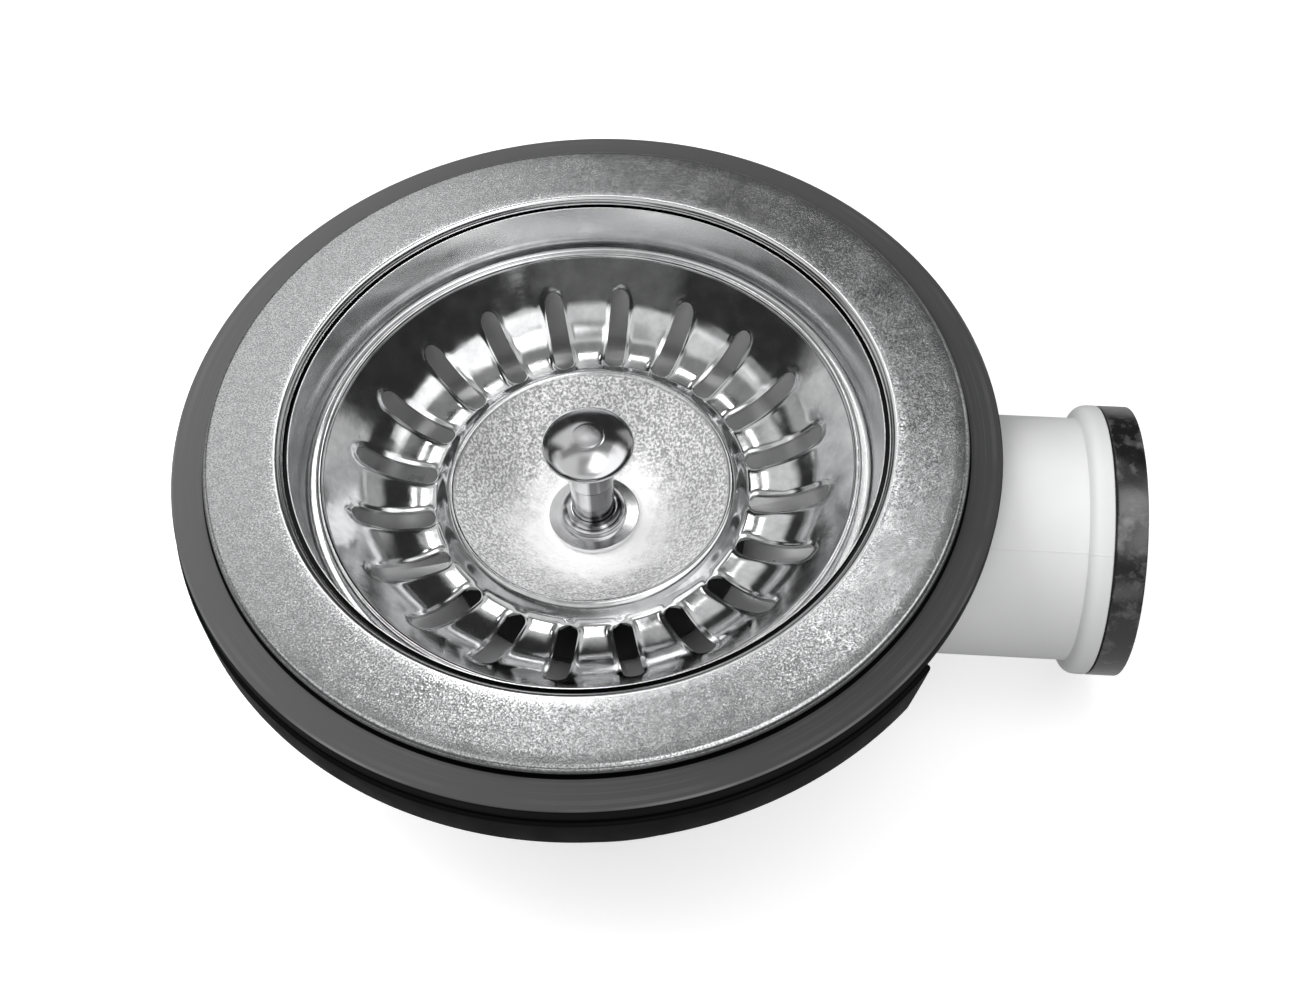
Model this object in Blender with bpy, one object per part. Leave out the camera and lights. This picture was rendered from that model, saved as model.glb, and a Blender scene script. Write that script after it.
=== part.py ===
"""A kitchen sink drain: a steel flange and bowl with a lift-out strainer basket, clamped by one long
screw to a black plastic housing whose white outlet pipe leaves to the side.

The origin is the middle of the housing's flat base and +Z is up. The outlet points along +X. The
pieces are placed by their depth below the flange's top face, which an empty stands on.
"""

import math

import bmesh
import bpy
from mathutils import Matrix, Vector

# Clearance between pieces that touch on the real drain, and how far a cutter runs past its solid
GAP = 0.0003
OVERRUN = 0.0020

# Facets round each kind of turned piece
LARGE_SEGMENTS = 40
BASKET_SEGMENTS = 40
PIPE_SEGMENTS = 32
SMALL_SEGMENTS = 20
RING_SECTION_SEGMENTS = 6

# Flange and bowl, one pressing of steel sheet
BOWL_SHEET = 0.0009
FLANGE_WIDTH = 0.0115
FLANGE_EDGE_DROP = 0.0020
FLANGE_EDGE_ROUND = 0.0010
FLANGE_INNER_ROUND = 0.0005
LEDGE_DROP = 0.0010
LEDGE_WIDTH = 0.0011
THROAT_FLARE = 0.0011
BOWL_TAPER = 0.0014
BOWL_CORNER_ROUND = 0.0060
DRAIN_HOLE_RADIUS = 0.0042
DRAIN_HOLE_WEB = 0.00065
DRAIN_HOLES = 8

# Strainer basket, pressed from thinner sheet
BASKET_SHEET = 0.0008
WALL_RUN = 0.0056
WALL_LEAD_DEG = 45.0
RIM_BEAD = 0.00065
RIM_DEPTH = 0.0079
RIM_THROAT_GAP = 0.0015
RIM_SEAT_WIDTH = 0.0006
CREASE_DROP = 0.0056
STRIP_WIDTH = 0.0102
TROUGH_WIDTH = 0.0009
TROUGH_DROP = 0.0101
RIDGE_INSET = 0.0024
RIDGE_FLANK = 0.0032
RIDGE_RISE = 0.0021
DISH_DROP = 0.0100
DISH_FLAT_RADIUS = 0.0080
DISH_FULLNESS_SHARE = 0.80
SLOTS = 20
SLOT_WIDTH = 0.0031
SLOT_PAST_CREASE = 0.00095
SLOT_FROM_RIDGE = 0.0030
SLOT_PHASE_DEG = 15.5

# Stem, collar, sleeve and knob
STEM_RADIUS = 0.0034
STEM_THREAD_RADIUS = 0.0025
COLLAR_RADIUS = 0.0073
COLLAR_THICKNESS = 0.0009
COLLAR_HUB_RADIUS = 0.0051
COLLAR_HUB_HEIGHT = 0.0022
SLEEVE_RADIUS = 0.0037
SLEEVE_LENGTH = 0.0086
KNOB_RADIUS = 0.0069
KNOB_DEPTH = 0.0042
KNOB_DOME = 0.0016
KNOB_HEIGHT = 0.0042
KNOB_NECK_RADIUS = 0.0041
KNOB_ROOF = 0.0020

# What hangs under the basket: rubber seal, its plate, a hexagon nut and the nylon plug that grips
SEAL_MARGIN = 0.0026
SEAL_THICKNESS = 0.0020
SEAL_LIP_DROP = 0.0021
SEAL_LIP_WIDTH = 0.0020
SEAL_SLOPE_WIDTH = 0.0073
PLATE_INSET = 0.0020
PLATE_THICKNESS = 0.0008
NUT_FLATS = 0.0080
NUT_HEIGHT = 0.0022
PLUG_RADIUS = 0.0046
PLUG_LENGTH = 0.0042
PLUG_END_WALL = 0.0010
GRIP_RING_SECTION = 0.0006
GRIP_GROOVE = 0.0009

# Clamp screw with its hollow head, the cup it stands in, its washers and its brass insert
CUP_WALL = 0.0009
CUP_FLANGE_WIDTH = 0.0013
CUP_FLANGE_THICKNESS = 0.0006
BUSH_WALL = 0.0012
BUSH_FLANGE_THICKNESS = 0.0007
HEAD_WALL = 0.0013
HEAD_FLOOR = 0.0012
HEAD_SLOT_WIDTH = 0.0020
HEAD_SLOT_DEPTH = 0.0016
SCREW_RADIUS = 0.0030
WASHER_THICKNESS = 0.0008
SEAL_WASHER_THICKNESS = 0.0008
INSERT_RADIUS = 0.0050
INSERT_LENGTH = 0.0050
INSERT_GROOVE_DEPTH = 0.0006
INSERT_GROOVE_LENGTH = 0.0016

# Seals between the flange and the housing
FLANGE_SEAL_THICKNESS = 0.0008
GASKET_OVERHANG = 0.0050
GASKET_THICKNESS = 0.0025
GASKET_STEP = 0.0004
GASKET_ROUND = 0.0005

# Plastic housing
HOUSING_WALL = 0.0030
FLOOR_WALL = 0.0030
PLATE_WALL = 0.0022
POT_GAP = 0.0018
POT_TAPER = 0.0020
POT_CORNER_ROUND = 0.0030
SKIRT_PROUD = 0.0005
SKIRT_WALL = 0.0025
SKIRT_HEIGHT = 0.0058
SKIRT_CUT_TOP_DEG = 35.0
SKIRT_CUT_BOTTOM_DEG = 39.5
FLOOR_SEAT_WIDTH = 0.0025
FLOOR_SEAT_HEIGHT = 0.0012
PILLAR_WALL = 0.0032
PILLAR_FLOOR = 0.0016
FLOOR_DROP = 0.0010

# Side outlet
PIPE_RADIUS = 0.0192
PIPE_WALL = 0.0023
PIPE_FIT = 0.0005
PIPE_ROOF = 0.0009
PIPE_THROAT_GAP = 0.0010
SOCKET_LENGTH = 0.0040
SOCKET_WALL = 0.0026
OUTLET_LENGTH = 0.0209
END_SEAL_LENGTH = 0.0045
END_SEAL_LIP = 0.0012
BEAD_PROUD = 0.0021
BEAD_LENGTH = 0.0012
BEAD_SHOULDER = 0.0021
NOSE_DEPTH = 0.0003
O_RING_SECTION = 0.0006
O_RING_GROOVE = 0.0011
O_RING_SETBACK = 0.0035

# Radii of the stack in the middle: each follows from the piece inside it and its clearance
THREAD_HOLE_RADIUS = STEM_THREAD_RADIUS + GAP
GRIP_RING_RADIUS = PLUG_RADIUS - GRIP_GROOVE + GAP / 2 + GRIP_RING_SECTION
BUSH_BORE_RADIUS = GRIP_RING_RADIUS + GRIP_RING_SECTION + GAP
BUSH_RADIUS = BUSH_BORE_RADIUS + BUSH_WALL
HEAD_BORE_RADIUS = BUSH_RADIUS + GAP
HEAD_RADIUS = HEAD_BORE_RADIUS + HEAD_WALL
WELL_RADIUS = HEAD_RADIUS + GAP
CUP_RADIUS = WELL_RADIUS + CUP_WALL
CUP_FLANGE_RADIUS = CUP_RADIUS + CUP_FLANGE_WIDTH
SCREW_HOLE_RADIUS = SCREW_RADIUS + GAP
INSERT_HOLE_RADIUS = INSERT_RADIUS + GAP
PILLAR_RADIUS = INSERT_HOLE_RADIUS + PILLAR_WALL

# Radii outwards from the screw's cup: drain holes, seal, basket, throat, flange, gasket, housing
DRAIN_HOLE_RING = CUP_FLANGE_RADIUS + DRAIN_HOLE_WEB + DRAIN_HOLE_RADIUS
SEAL_RADIUS = DRAIN_HOLE_RING + DRAIN_HOLE_RADIUS + SEAL_MARGIN + SEAL_LIP_WIDTH
SEAL_FLAT_RADIUS = SEAL_RADIUS - SEAL_SLOPE_WIDTH
PLATE_RADIUS = SEAL_FLAT_RADIUS - PLATE_INSET
RIDGE_RADIUS = SEAL_RADIUS - RIDGE_INSET
TROUGH_RADIUS = RIDGE_RADIUS + RIDGE_FLANK + TROUGH_WIDTH
CREASE_RADIUS = TROUGH_RADIUS + STRIP_WIDTH
RIM_RADIUS = CREASE_RADIUS + WALL_RUN
SEAT_RADIUS = RIM_RADIUS - RIM_SEAT_WIDTH
THROAT_RADIUS = RIM_RADIUS + RIM_THROAT_GAP
FLANGE_INNER_RADIUS = THROAT_RADIUS + THROAT_FLARE + LEDGE_WIDTH
FLANGE_RADIUS = FLANGE_INNER_RADIUS + FLANGE_WIDTH
GASKET_BORE_RADIUS = FLANGE_INNER_RADIUS + BOWL_SHEET + GAP
GASKET_RADIUS = FLANGE_RADIUS + GASKET_OVERHANG
POT_RADIUS = THROAT_RADIUS + BOWL_SHEET + POT_GAP
POT_FOOT_RADIUS = POT_RADIUS - POT_TAPER
SKIRT_RADIUS = GASKET_RADIUS + SKIRT_PROUD

# Radii and reach of the side outlet
OUTLET_REACH = SKIRT_RADIUS + OUTLET_LENGTH
PIPE_BORE_RADIUS = PIPE_RADIUS - PIPE_WALL
SOCKET_BORE_RADIUS = PIPE_RADIUS + PIPE_FIT
BEAD_RADIUS = PIPE_RADIUS + BEAD_PROUD
NOSE_RADIUS = PIPE_RADIUS - NOSE_DEPTH

# Depths below the flange's top face, from the basket down to the screw's insert
RIM_BOTTOM = RIM_DEPTH + 2 * RIM_BEAD
SEAT_DEPTH = RIM_BOTTOM + GAP
CREASE_DEPTH = RIM_DEPTH + CREASE_DROP
TROUGH_DEPTH = RIM_DEPTH + TROUGH_DROP
RIDGE_DEPTH = TROUGH_DEPTH - RIDGE_RISE
DISH_DEPTH = RIDGE_DEPTH + DISH_DROP
SEAL_TOP = DISH_DEPTH + BASKET_SHEET + GAP
SEAL_LIP_BOTTOM = SEAL_TOP + SEAL_THICKNESS + SEAL_LIP_DROP
BOWL_DEPTH = SEAL_LIP_BOTTOM + GAP
PLATE_TOP = SEAL_TOP + SEAL_THICKNESS + GAP
NUT_TOP = PLATE_TOP + PLATE_THICKNESS + GAP
PLUG_TOP = NUT_TOP + NUT_HEIGHT + GAP
PLUG_BOTTOM = PLUG_TOP + PLUG_LENGTH
STEM_END = PLUG_BOTTOM - PLUG_END_WALL - GAP
HEAD_BORE_BOTTOM = PLUG_BOTTOM + GAP
HEAD_BOTTOM = HEAD_BORE_BOTTOM + HEAD_FLOOR
WASHER_TOP = HEAD_BOTTOM + GAP
SEAL_WASHER_TOP = WASHER_TOP + WASHER_THICKNESS + GAP
WELL_DEPTH = SEAL_WASHER_TOP + SEAL_WASHER_THICKNESS + GAP
PILLAR_TOP = WELL_DEPTH + CUP_WALL + GAP
INSERT_TOP = PILLAR_TOP + GAP
INSERT_BOTTOM = INSERT_TOP + INSERT_LENGTH

# Depths of the seals, the housing and the outlet
FLANGE_SEAL_TOP = BOWL_SHEET + GAP
GASKET_TOP = FLANGE_EDGE_DROP
GASKET_BOTTOM = GASKET_TOP + GASKET_STEP + GASKET_THICKNESS
HOUSING_TOP = GASKET_BOTTOM + GAP
OUTLET_DEPTH = HOUSING_TOP + PIPE_ROOF + SOCKET_BORE_RADIUS
CHAMBER_FLOOR = max(OUTLET_DEPTH + SOCKET_BORE_RADIUS + FLOOR_DROP, PILLAR_TOP + HOUSING_WALL)
BASE_DEPTH = max(CHAMBER_FLOOR + FLOOR_WALL, INSERT_BOTTOM + GAP + PILLAR_FLOOR)

# The stem's upper end, from the knob down
SLEEVE_TOP = KNOB_DEPTH + KNOB_HEIGHT + GAP
SLEEVE_BOTTOM = SLEEVE_TOP + SLEEVE_LENGTH
STEM_SHOULDER = SLEEVE_BOTTOM + GAP
STEM_SEAT = DISH_DEPTH - GAP


def arc(centre, radius, start_deg, end_deg, steps):
    """Points (radius, depth) round a centre; 0 degrees points outward and 90 degrees down."""
    points = []
    for step in range(steps + 1):
        angle = math.radians(start_deg + (end_deg - start_deg) * step / steps)
        points.append((centre[0] + radius * math.cos(angle), centre[1] + radius * math.sin(angle)))
    return points


def bend(start, corner, end, steps):
    """A smooth bend from start to end that heads for the corner at both ends."""
    points = []
    for step in range(steps + 1):
        t = step / steps
        weights = ((1 - t) ** 2, 2 * t * (1 - t), t * t)
        points.append(tuple(sum(w * p[axis] for w, p in zip(weights, (start, corner, end)))
                            for axis in (0, 1)))
    return points


def ease(start, end, steps):
    """An S-shaped run that is level at both ends."""
    points = []
    for step in range(steps + 1):
        t = step / steps
        share = (1 - math.cos(math.pi * t)) / 2
        points.append((start[0] + (end[0] - start[0]) * t, start[1] + (end[1] - start[1]) * share))
    return points


def sheet_side(path, thickness):
    """The other side of a sheet whose face follows the path, at an even thickness."""
    side = []
    for index, point in enumerate(path):
        here = Vector(point)
        before = (here - Vector(path[index - 1])).normalized() if index else None
        after = (Vector(path[index + 1]) - here).normalized() if index < len(path) - 1 else before
        before = before or after
        along = (before + after).normalized()
        across = Vector((-along.y, along.x))
        stretch = thickness / along.dot(after)
        side.append(tuple(here + across * stretch))
    return side


def make_material(name, colour, roughness, metallic):
    material = bpy.data.materials.new(name)
    material.use_nodes = True
    shader = material.node_tree.nodes["Principled BSDF"]
    shader.inputs["Base Color"].default_value = (*colour, 1)
    shader.inputs["Roughness"].default_value = roughness
    shader.inputs["Metallic"].default_value = metallic
    material.diffuse_color = (*colour, 1)
    return material


def add_object(name, solid, parent):
    """Turn a bmesh into a named object under its parent."""
    bmesh.ops.recalc_face_normals(solid, faces=solid.faces[:])
    mesh = bpy.data.meshes.new(name)
    solid.to_mesh(mesh)
    solid.free()
    obj = bpy.data.objects.new(name, mesh)
    bpy.context.scene.collection.objects.link(obj)
    obj.parent = parent
    return obj


def finish_piece(obj, colour, roughness, metallic):
    """Give a piece its own material and smooth round faces."""
    obj.data.materials.append(make_material(obj.name, colour, roughness, metallic))
    obj.data.shade_smooth()
    obj.data.set_sharp_from_angle(angle=math.radians(35))
    return obj


def turned(name, outline, parent, segments=SMALL_SEGMENTS):
    """A closed outline of (radius, depth) points turned about the parent's Z axis."""
    solid = bmesh.new()
    rim = [solid.verts.new((radius, 0, -depth)) for radius, depth in outline]
    edges = [solid.edges.new((rim[i - 1], rim[i])) for i in range(len(rim))]
    bmesh.ops.spin(solid, geom=rim + edges, cent=(0, 0, 0), axis=(0, 0, 1), angle=2 * math.pi,
                   steps=segments, use_merge=True)
    bmesh.ops.remove_doubles(solid, verts=solid.verts[:], dist=GAP / 100)
    on_axis = [edge for edge in solid.edges if not edge.link_faces]
    bmesh.ops.delete(solid, geom=on_axis, context="EDGES")
    return add_object(name, solid, parent)


def ring(name, inner, outer, top, bottom, parent, segments=SMALL_SEGMENTS):
    """A flat ring with a square section."""
    return turned(name, [(outer, top), (outer, bottom), (inner, bottom), (inner, top)], parent, segments)


def round_ring(name, radius, section, depth, parent, segments=SMALL_SEGMENTS):
    """A ring with a round section, such as a rubber ring in its groove."""
    outline = arc((radius, depth), section, 0, 360, RING_SECTION_SEGMENTS)[:-1]
    return turned(name, outline, parent, segments)


def cylinders(name, places, radius, top, bottom, parent, segments=SMALL_SEGMENTS):
    """Upright cylinders at the places given as (x, y)."""
    solid = bmesh.new()
    for x, y in places:
        middle = Matrix.Translation((x, y, -(top + bottom) / 2))
        bmesh.ops.create_cone(solid, cap_ends=True, segments=segments, radius1=radius, radius2=radius,
                              depth=bottom - top, matrix=middle)
    return add_object(name, solid, parent)


def prism(solid, outline, low, high, placed=None):
    """Extrude a flat outline of (x, y) points from low to high, as one closed body of the bmesh."""
    placed = placed or Matrix.Identity(4)
    floor = [solid.verts.new(placed @ Vector((x, y, low))) for x, y in outline]
    face = solid.faces.new(floor)
    raised = bmesh.ops.extrude_face_region(solid, geom=[face])["geom"]
    moved = [item for item in raised if isinstance(item, bmesh.types.BMVert)]
    bmesh.ops.translate(solid, verts=moved, vec=placed.to_3x3() @ Vector((0, 0, high - low)))


def combine(obj, other, operation):
    """Cut the other solid out of this one, or join it on, and keep the other as a hidden guide."""
    step = obj.modifiers.new(other.name, "BOOLEAN")
    step.operation = operation
    step.solver = "EXACT"
    step.object = other
    other.hide_render = True
    other.display_type = "WIRE"


def strainer_bowl(top):
    """Flange with a turned-down edge, throat, seat for the basket's rim, and bowl with drain holes."""
    edge = (FLANGE_RADIUS - FLANGE_EDGE_ROUND, FLANGE_EDGE_ROUND)
    lip = (FLANGE_INNER_RADIUS + FLANGE_INNER_ROUND, FLANGE_INNER_ROUND)
    throat_top = FLANGE_INNER_RADIUS - LEDGE_WIDTH
    wall_foot = SEAT_RADIUS - BOWL_TAPER
    corner = (wall_foot, BOWL_DEPTH)
    face = [(FLANGE_RADIUS, FLANGE_EDGE_DROP)]
    face += arc(edge, FLANGE_EDGE_ROUND, 0, -90, 2)
    face += arc(lip, FLANGE_INNER_ROUND, -90, -180, 1)
    face += [(FLANGE_INNER_RADIUS, LEDGE_DROP), (throat_top, LEDGE_DROP)]
    face += [(THROAT_RADIUS, SEAT_DEPTH), (SEAT_RADIUS, SEAT_DEPTH)]
    face += bend((wall_foot, BOWL_DEPTH - BOWL_CORNER_ROUND), corner,
                 (wall_foot - BOWL_CORNER_ROUND, BOWL_DEPTH), 3)
    face += [(CUP_RADIUS + GAP, BOWL_DEPTH)]
    back = sheet_side(face, -BOWL_SHEET)
    bowl = turned("strainer_bowl", face + back[::-1], top, LARGE_SEGMENTS)
    places = []
    for index in range(DRAIN_HOLES):
        angle = 2 * math.pi * index / DRAIN_HOLES
        places.append((DRAIN_HOLE_RING * math.cos(angle), DRAIN_HOLE_RING * math.sin(angle)))
    holes = cylinders("drain_holes", places, DRAIN_HOLE_RADIUS, BOWL_DEPTH - OVERRUN,
                      BOWL_DEPTH + BOWL_SHEET + OVERRUN, top, SMALL_SEGMENTS // 2)
    combine(bowl, holes, "DIFFERENCE")
    return finish_piece(bowl, (0.62, 0.63, 0.64), 0.32, 1.0)


def seals(top):
    """The thin ring under the flange and the thick gasket that the sink sits on."""
    lip = FLANGE_RADIUS - BOWL_SHEET
    flange_seal = ring("flange_seal", GASKET_BORE_RADIUS + GAP, lip - GAP, FLANGE_SEAL_TOP,
                       FLANGE_SEAL_TOP + FLANGE_SEAL_THICKNESS, top, LARGE_SEGMENTS)
    finish_piece(flange_seal, (0.02, 0.02, 0.02), 0.7, 0.0)
    step = FLANGE_RADIUS + GAP
    edge = GASKET_RADIUS - GASKET_ROUND
    outline = [(step, GASKET_TOP), (edge, GASKET_TOP), (GASKET_RADIUS, GASKET_TOP + GASKET_ROUND),
               (GASKET_RADIUS, GASKET_BOTTOM - GASKET_ROUND), (edge, GASKET_BOTTOM),
               (GASKET_BORE_RADIUS, GASKET_BOTTOM), (GASKET_BORE_RADIUS, GASKET_TOP + GASKET_STEP),
               (step, GASKET_TOP + GASKET_STEP)]
    gasket = turned("body_gasket", outline, top, LARGE_SEGMENTS)
    finish_piece(gasket, (0.055, 0.055, 0.055), 0.6, 0.0)


def skirt_opening(top):
    """Wedge that clears the housing's rim and skirt over the outlet, wider at its foot."""
    skirt_bottom = HOUSING_TOP + SKIRT_HEIGHT
    slope = (SKIRT_CUT_BOTTOM_DEG - SKIRT_CUT_TOP_DEG) / SKIRT_HEIGHT
    levels = ((HOUSING_TOP - OVERRUN, SKIRT_CUT_TOP_DEG - slope * OVERRUN),
              (skirt_bottom + OVERRUN, SKIRT_CUT_BOTTOM_DEG + slope * OVERRUN))
    steps = LARGE_SEGMENTS // 4
    solid = bmesh.new()
    rows = []
    for step in range(steps + 1):
        turn = 2 * step / steps - 1
        row = []
        for (depth, half_deg), radii in zip(levels, ((FLANGE_RADIUS, SKIRT_RADIUS + OVERRUN),
                                                     (SKIRT_RADIUS + OVERRUN, FLANGE_RADIUS))):
            angle = math.radians(half_deg) * turn
            for radius in radii:
                row.append(solid.verts.new((radius * math.cos(angle), radius * math.sin(angle), -depth)))
        rows.append(row)
    for row, following in zip(rows, rows[1:]):
        for side in range(4):
            solid.faces.new((row[side - 1], row[side], following[side], following[side - 1]))
    solid.faces.new(rows[0])
    solid.faces.new(rows[-1])
    return add_object("skirt_opening", solid, top)


def outlet_socket(outlet):
    """Socket round the pipe, flattened where it joins the rim plate above it."""
    radius = SOCKET_BORE_RADIUS + SOCKET_WALL
    roof = OUTLET_DEPTH - HOUSING_TOP - PLATE_WALL / 2
    outline = []
    for step in range(PIPE_SEGMENTS):
        angle = 2 * math.pi * step / PIPE_SEGMENTS
        outline.append((max(radius * math.cos(angle), -roof), radius * math.sin(angle)))
    solid = bmesh.new()
    prism(solid, outline, POT_RADIUS - SOCKET_WALL, POT_RADIUS + HOUSING_WALL + SOCKET_LENGTH)
    return add_object("outlet_socket", solid, outlet)


def waste_housing(top, outlet):
    """Rim plate and skirt, tapered pot with a ledge at its foot for the floor, and outlet socket."""
    pot_outer = POT_RADIUS + HOUSING_WALL
    plate_under = HOUSING_TOP + PLATE_WALL
    skirt_inner = SKIRT_RADIUS - SKIRT_WALL
    skirt_bottom = HOUSING_TOP + SKIRT_HEIGHT
    outline = [(0, HOUSING_TOP), (SKIRT_RADIUS, HOUSING_TOP), (SKIRT_RADIUS, skirt_bottom),
               (skirt_inner, skirt_bottom), (skirt_inner, plate_under), (pot_outer, plate_under)]
    foot = POT_FOOT_RADIUS + HOUSING_WALL
    outline += bend((foot, BASE_DEPTH - POT_CORNER_ROUND), (foot, BASE_DEPTH),
                    (foot - POT_CORNER_ROUND, BASE_DEPTH), 3)
    outline += [(0, BASE_DEPTH)]
    housing = turned("waste_housing", outline, top, LARGE_SEGMENTS)
    combine(housing, outlet_socket(outlet), "UNION")

    seat = BASE_DEPTH - FLOOR_SEAT_HEIGHT
    ledge = POT_FOOT_RADIUS - FLOOR_SEAT_WIDTH
    outline = [(POT_RADIUS, HOUSING_TOP - OVERRUN), (POT_FOOT_RADIUS, seat), (ledge, seat),
               (ledge, BASE_DEPTH + OVERRUN), (0, BASE_DEPTH + OVERRUN), (0, HOUSING_TOP - OVERRUN)]
    cavity = turned("housing_cavity", outline, top, LARGE_SEGMENTS)
    combine(housing, cavity, "DIFFERENCE")

    inside = math.sqrt(POT_RADIUS ** 2 - SOCKET_BORE_RADIUS ** 2) - OVERRUN
    bore = cylinders("socket_bore", [(0, 0)], SOCKET_BORE_RADIUS, -GASKET_RADIUS, -inside, outlet,
                     PIPE_SEGMENTS)
    combine(housing, bore, "DIFFERENCE")
    combine(housing, skirt_opening(top), "DIFFERENCE")
    return finish_piece(housing, (0.018, 0.018, 0.019), 0.45, 0.0)


def housing_floor(top):
    """Floor disc that sits on the ledge in the housing's foot, with the pillar for the insert."""
    edge = POT_FOOT_RADIUS - GAP
    plug = edge - FLOOR_SEAT_WIDTH
    seat = BASE_DEPTH - FLOOR_SEAT_HEIGHT - GAP
    hole_bottom = INSERT_BOTTOM + GAP
    outline = [(edge, CHAMBER_FLOOR), (edge, seat), (plug, seat), (plug, BASE_DEPTH), (0, BASE_DEPTH),
               (0, hole_bottom), (INSERT_HOLE_RADIUS, hole_bottom), (INSERT_HOLE_RADIUS, PILLAR_TOP),
               (PILLAR_RADIUS, PILLAR_TOP), (PILLAR_RADIUS, CHAMBER_FLOOR)]
    floor = turned("housing_floor", outline, top, LARGE_SEGMENTS)
    finish_piece(floor, (0.018, 0.018, 0.019), 0.45, 0.0)


def outlet_pieces(outlet):
    """White pipe with its end bead, the rubber ring in its groove, and the black end seal.

    The depths run back along the pipe, so a place further out is a larger negative depth.
    """
    start = THROAT_RADIUS + BOWL_SHEET + PIPE_THROAT_GAP
    seal_start = OUTLET_REACH - END_SEAL_LENGTH
    bead_end = seal_start - GAP
    bead_start = bead_end - BEAD_LENGTH
    nose_end = OUTLET_REACH - END_SEAL_LIP - GAP
    groove_middle = POT_RADIUS + HOUSING_WALL + SOCKET_LENGTH - O_RING_SETBACK
    groove_half = O_RING_SECTION + GAP
    groove_floor = PIPE_RADIUS - O_RING_GROOVE
    profile = [(PIPE_BORE_RADIUS, start), (PIPE_RADIUS, start), (PIPE_RADIUS, groove_middle - groove_half),
               (groove_floor, groove_middle - groove_half), (groove_floor, groove_middle + groove_half),
               (PIPE_RADIUS, groove_middle + groove_half)]
    profile += bend((PIPE_RADIUS, bead_start - BEAD_SHOULDER), (BEAD_RADIUS, bead_start - BEAD_SHOULDER),
                    (BEAD_RADIUS, bead_start), 3)
    profile += [(BEAD_RADIUS, bead_end), (NOSE_RADIUS, bead_end), (NOSE_RADIUS, nose_end),
                (PIPE_BORE_RADIUS, nose_end)]
    pipe = turned("outlet_pipe", [(r, -along) for r, along in profile], outlet, PIPE_SEGMENTS)
    finish_piece(pipe, (0.80, 0.81, 0.81), 0.35, 0.0)

    o_ring = round_ring("outlet_o_ring", groove_floor + GAP / 2 + O_RING_SECTION, O_RING_SECTION,
                        -groove_middle, outlet, PIPE_SEGMENTS)
    finish_piece(o_ring, (0.03, 0.03, 0.03), 0.6, 0.0)

    recess = NOSE_RADIUS + GAP
    lip_start = OUTLET_REACH - END_SEAL_LIP
    profile = [(BEAD_RADIUS, seal_start), (BEAD_RADIUS, OUTLET_REACH), (PIPE_BORE_RADIUS, OUTLET_REACH),
               (PIPE_BORE_RADIUS, lip_start), (recess, lip_start), (recess, seal_start)]
    end_seal = turned("outlet_seal", [(r, -along) for r, along in profile], outlet, PIPE_SEGMENTS)
    finish_piece(end_seal, (0.025, 0.025, 0.026), 0.5, 0.0)


def clamp_pieces(top):
    """Hollow-headed screw, the cup that holds its head in the bowl, its washers and brass insert."""
    cup_top = BOWL_DEPTH - GAP - CUP_FLANGE_THICKNESS
    cup_bottom = WELL_DEPTH + CUP_WALL
    outline = [(CUP_FLANGE_RADIUS, cup_top), (CUP_FLANGE_RADIUS, BOWL_DEPTH - GAP),
               (CUP_RADIUS, BOWL_DEPTH - GAP), (CUP_RADIUS, cup_bottom), (SCREW_HOLE_RADIUS, cup_bottom),
               (SCREW_HOLE_RADIUS, WELL_DEPTH), (WELL_RADIUS, WELL_DEPTH), (WELL_RADIUS, cup_top)]
    finish_piece(turned("screw_cup", outline, top), (0.62, 0.63, 0.64), 0.32, 1.0)

    head_top = PLUG_TOP
    outline = [(HEAD_BORE_RADIUS, head_top), (HEAD_RADIUS, head_top), (HEAD_RADIUS, HEAD_BOTTOM),
               (SCREW_RADIUS, HEAD_BOTTOM), (SCREW_RADIUS, INSERT_BOTTOM), (0, INSERT_BOTTOM),
               (0, HEAD_BORE_BOTTOM), (HEAD_BORE_RADIUS, HEAD_BORE_BOTTOM)]
    screw = turned("clamp_screw", outline, top)
    half = HEAD_SLOT_WIDTH / 2
    reach = HEAD_RADIUS + OVERRUN
    slot = bmesh.new()
    prism(slot, [(-reach, -half), (reach, -half), (reach, half), (-reach, half)],
          -head_top - HEAD_SLOT_DEPTH, -head_top + OVERRUN)
    combine(screw, add_object("screw_slot", slot, top), "DIFFERENCE")
    finish_piece(screw, (0.60, 0.60, 0.60), 0.35, 1.0)

    washer = ring("clamp_washer", SCREW_HOLE_RADIUS, HEAD_RADIUS, WASHER_TOP,
                  WASHER_TOP + WASHER_THICKNESS, top)
    finish_piece(washer, (0.60, 0.60, 0.60), 0.4, 1.0)
    seal_washer = ring("screw_seal_washer", SCREW_HOLE_RADIUS, HEAD_RADIUS - GAP, SEAL_WASHER_TOP,
                       SEAL_WASHER_TOP + SEAL_WASHER_THICKNESS, top)
    finish_piece(seal_washer, (0.02, 0.02, 0.02), 0.7, 0.0)

    groove_top = (INSERT_TOP + INSERT_BOTTOM - INSERT_GROOVE_LENGTH) / 2
    groove_bottom = groove_top + INSERT_GROOVE_LENGTH
    waist = INSERT_RADIUS - INSERT_GROOVE_DEPTH
    outline = [(SCREW_HOLE_RADIUS, INSERT_TOP), (INSERT_RADIUS, INSERT_TOP),
               (INSERT_RADIUS, groove_top), (waist, groove_top),
               (waist, groove_bottom), (INSERT_RADIUS, groove_bottom),
               (INSERT_RADIUS, INSERT_BOTTOM), (SCREW_HOLE_RADIUS, INSERT_BOTTOM)]
    insert = turned("brass_insert", outline, top)
    finish_piece(insert, (0.72, 0.55, 0.25), 0.35, 1.0)


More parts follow.
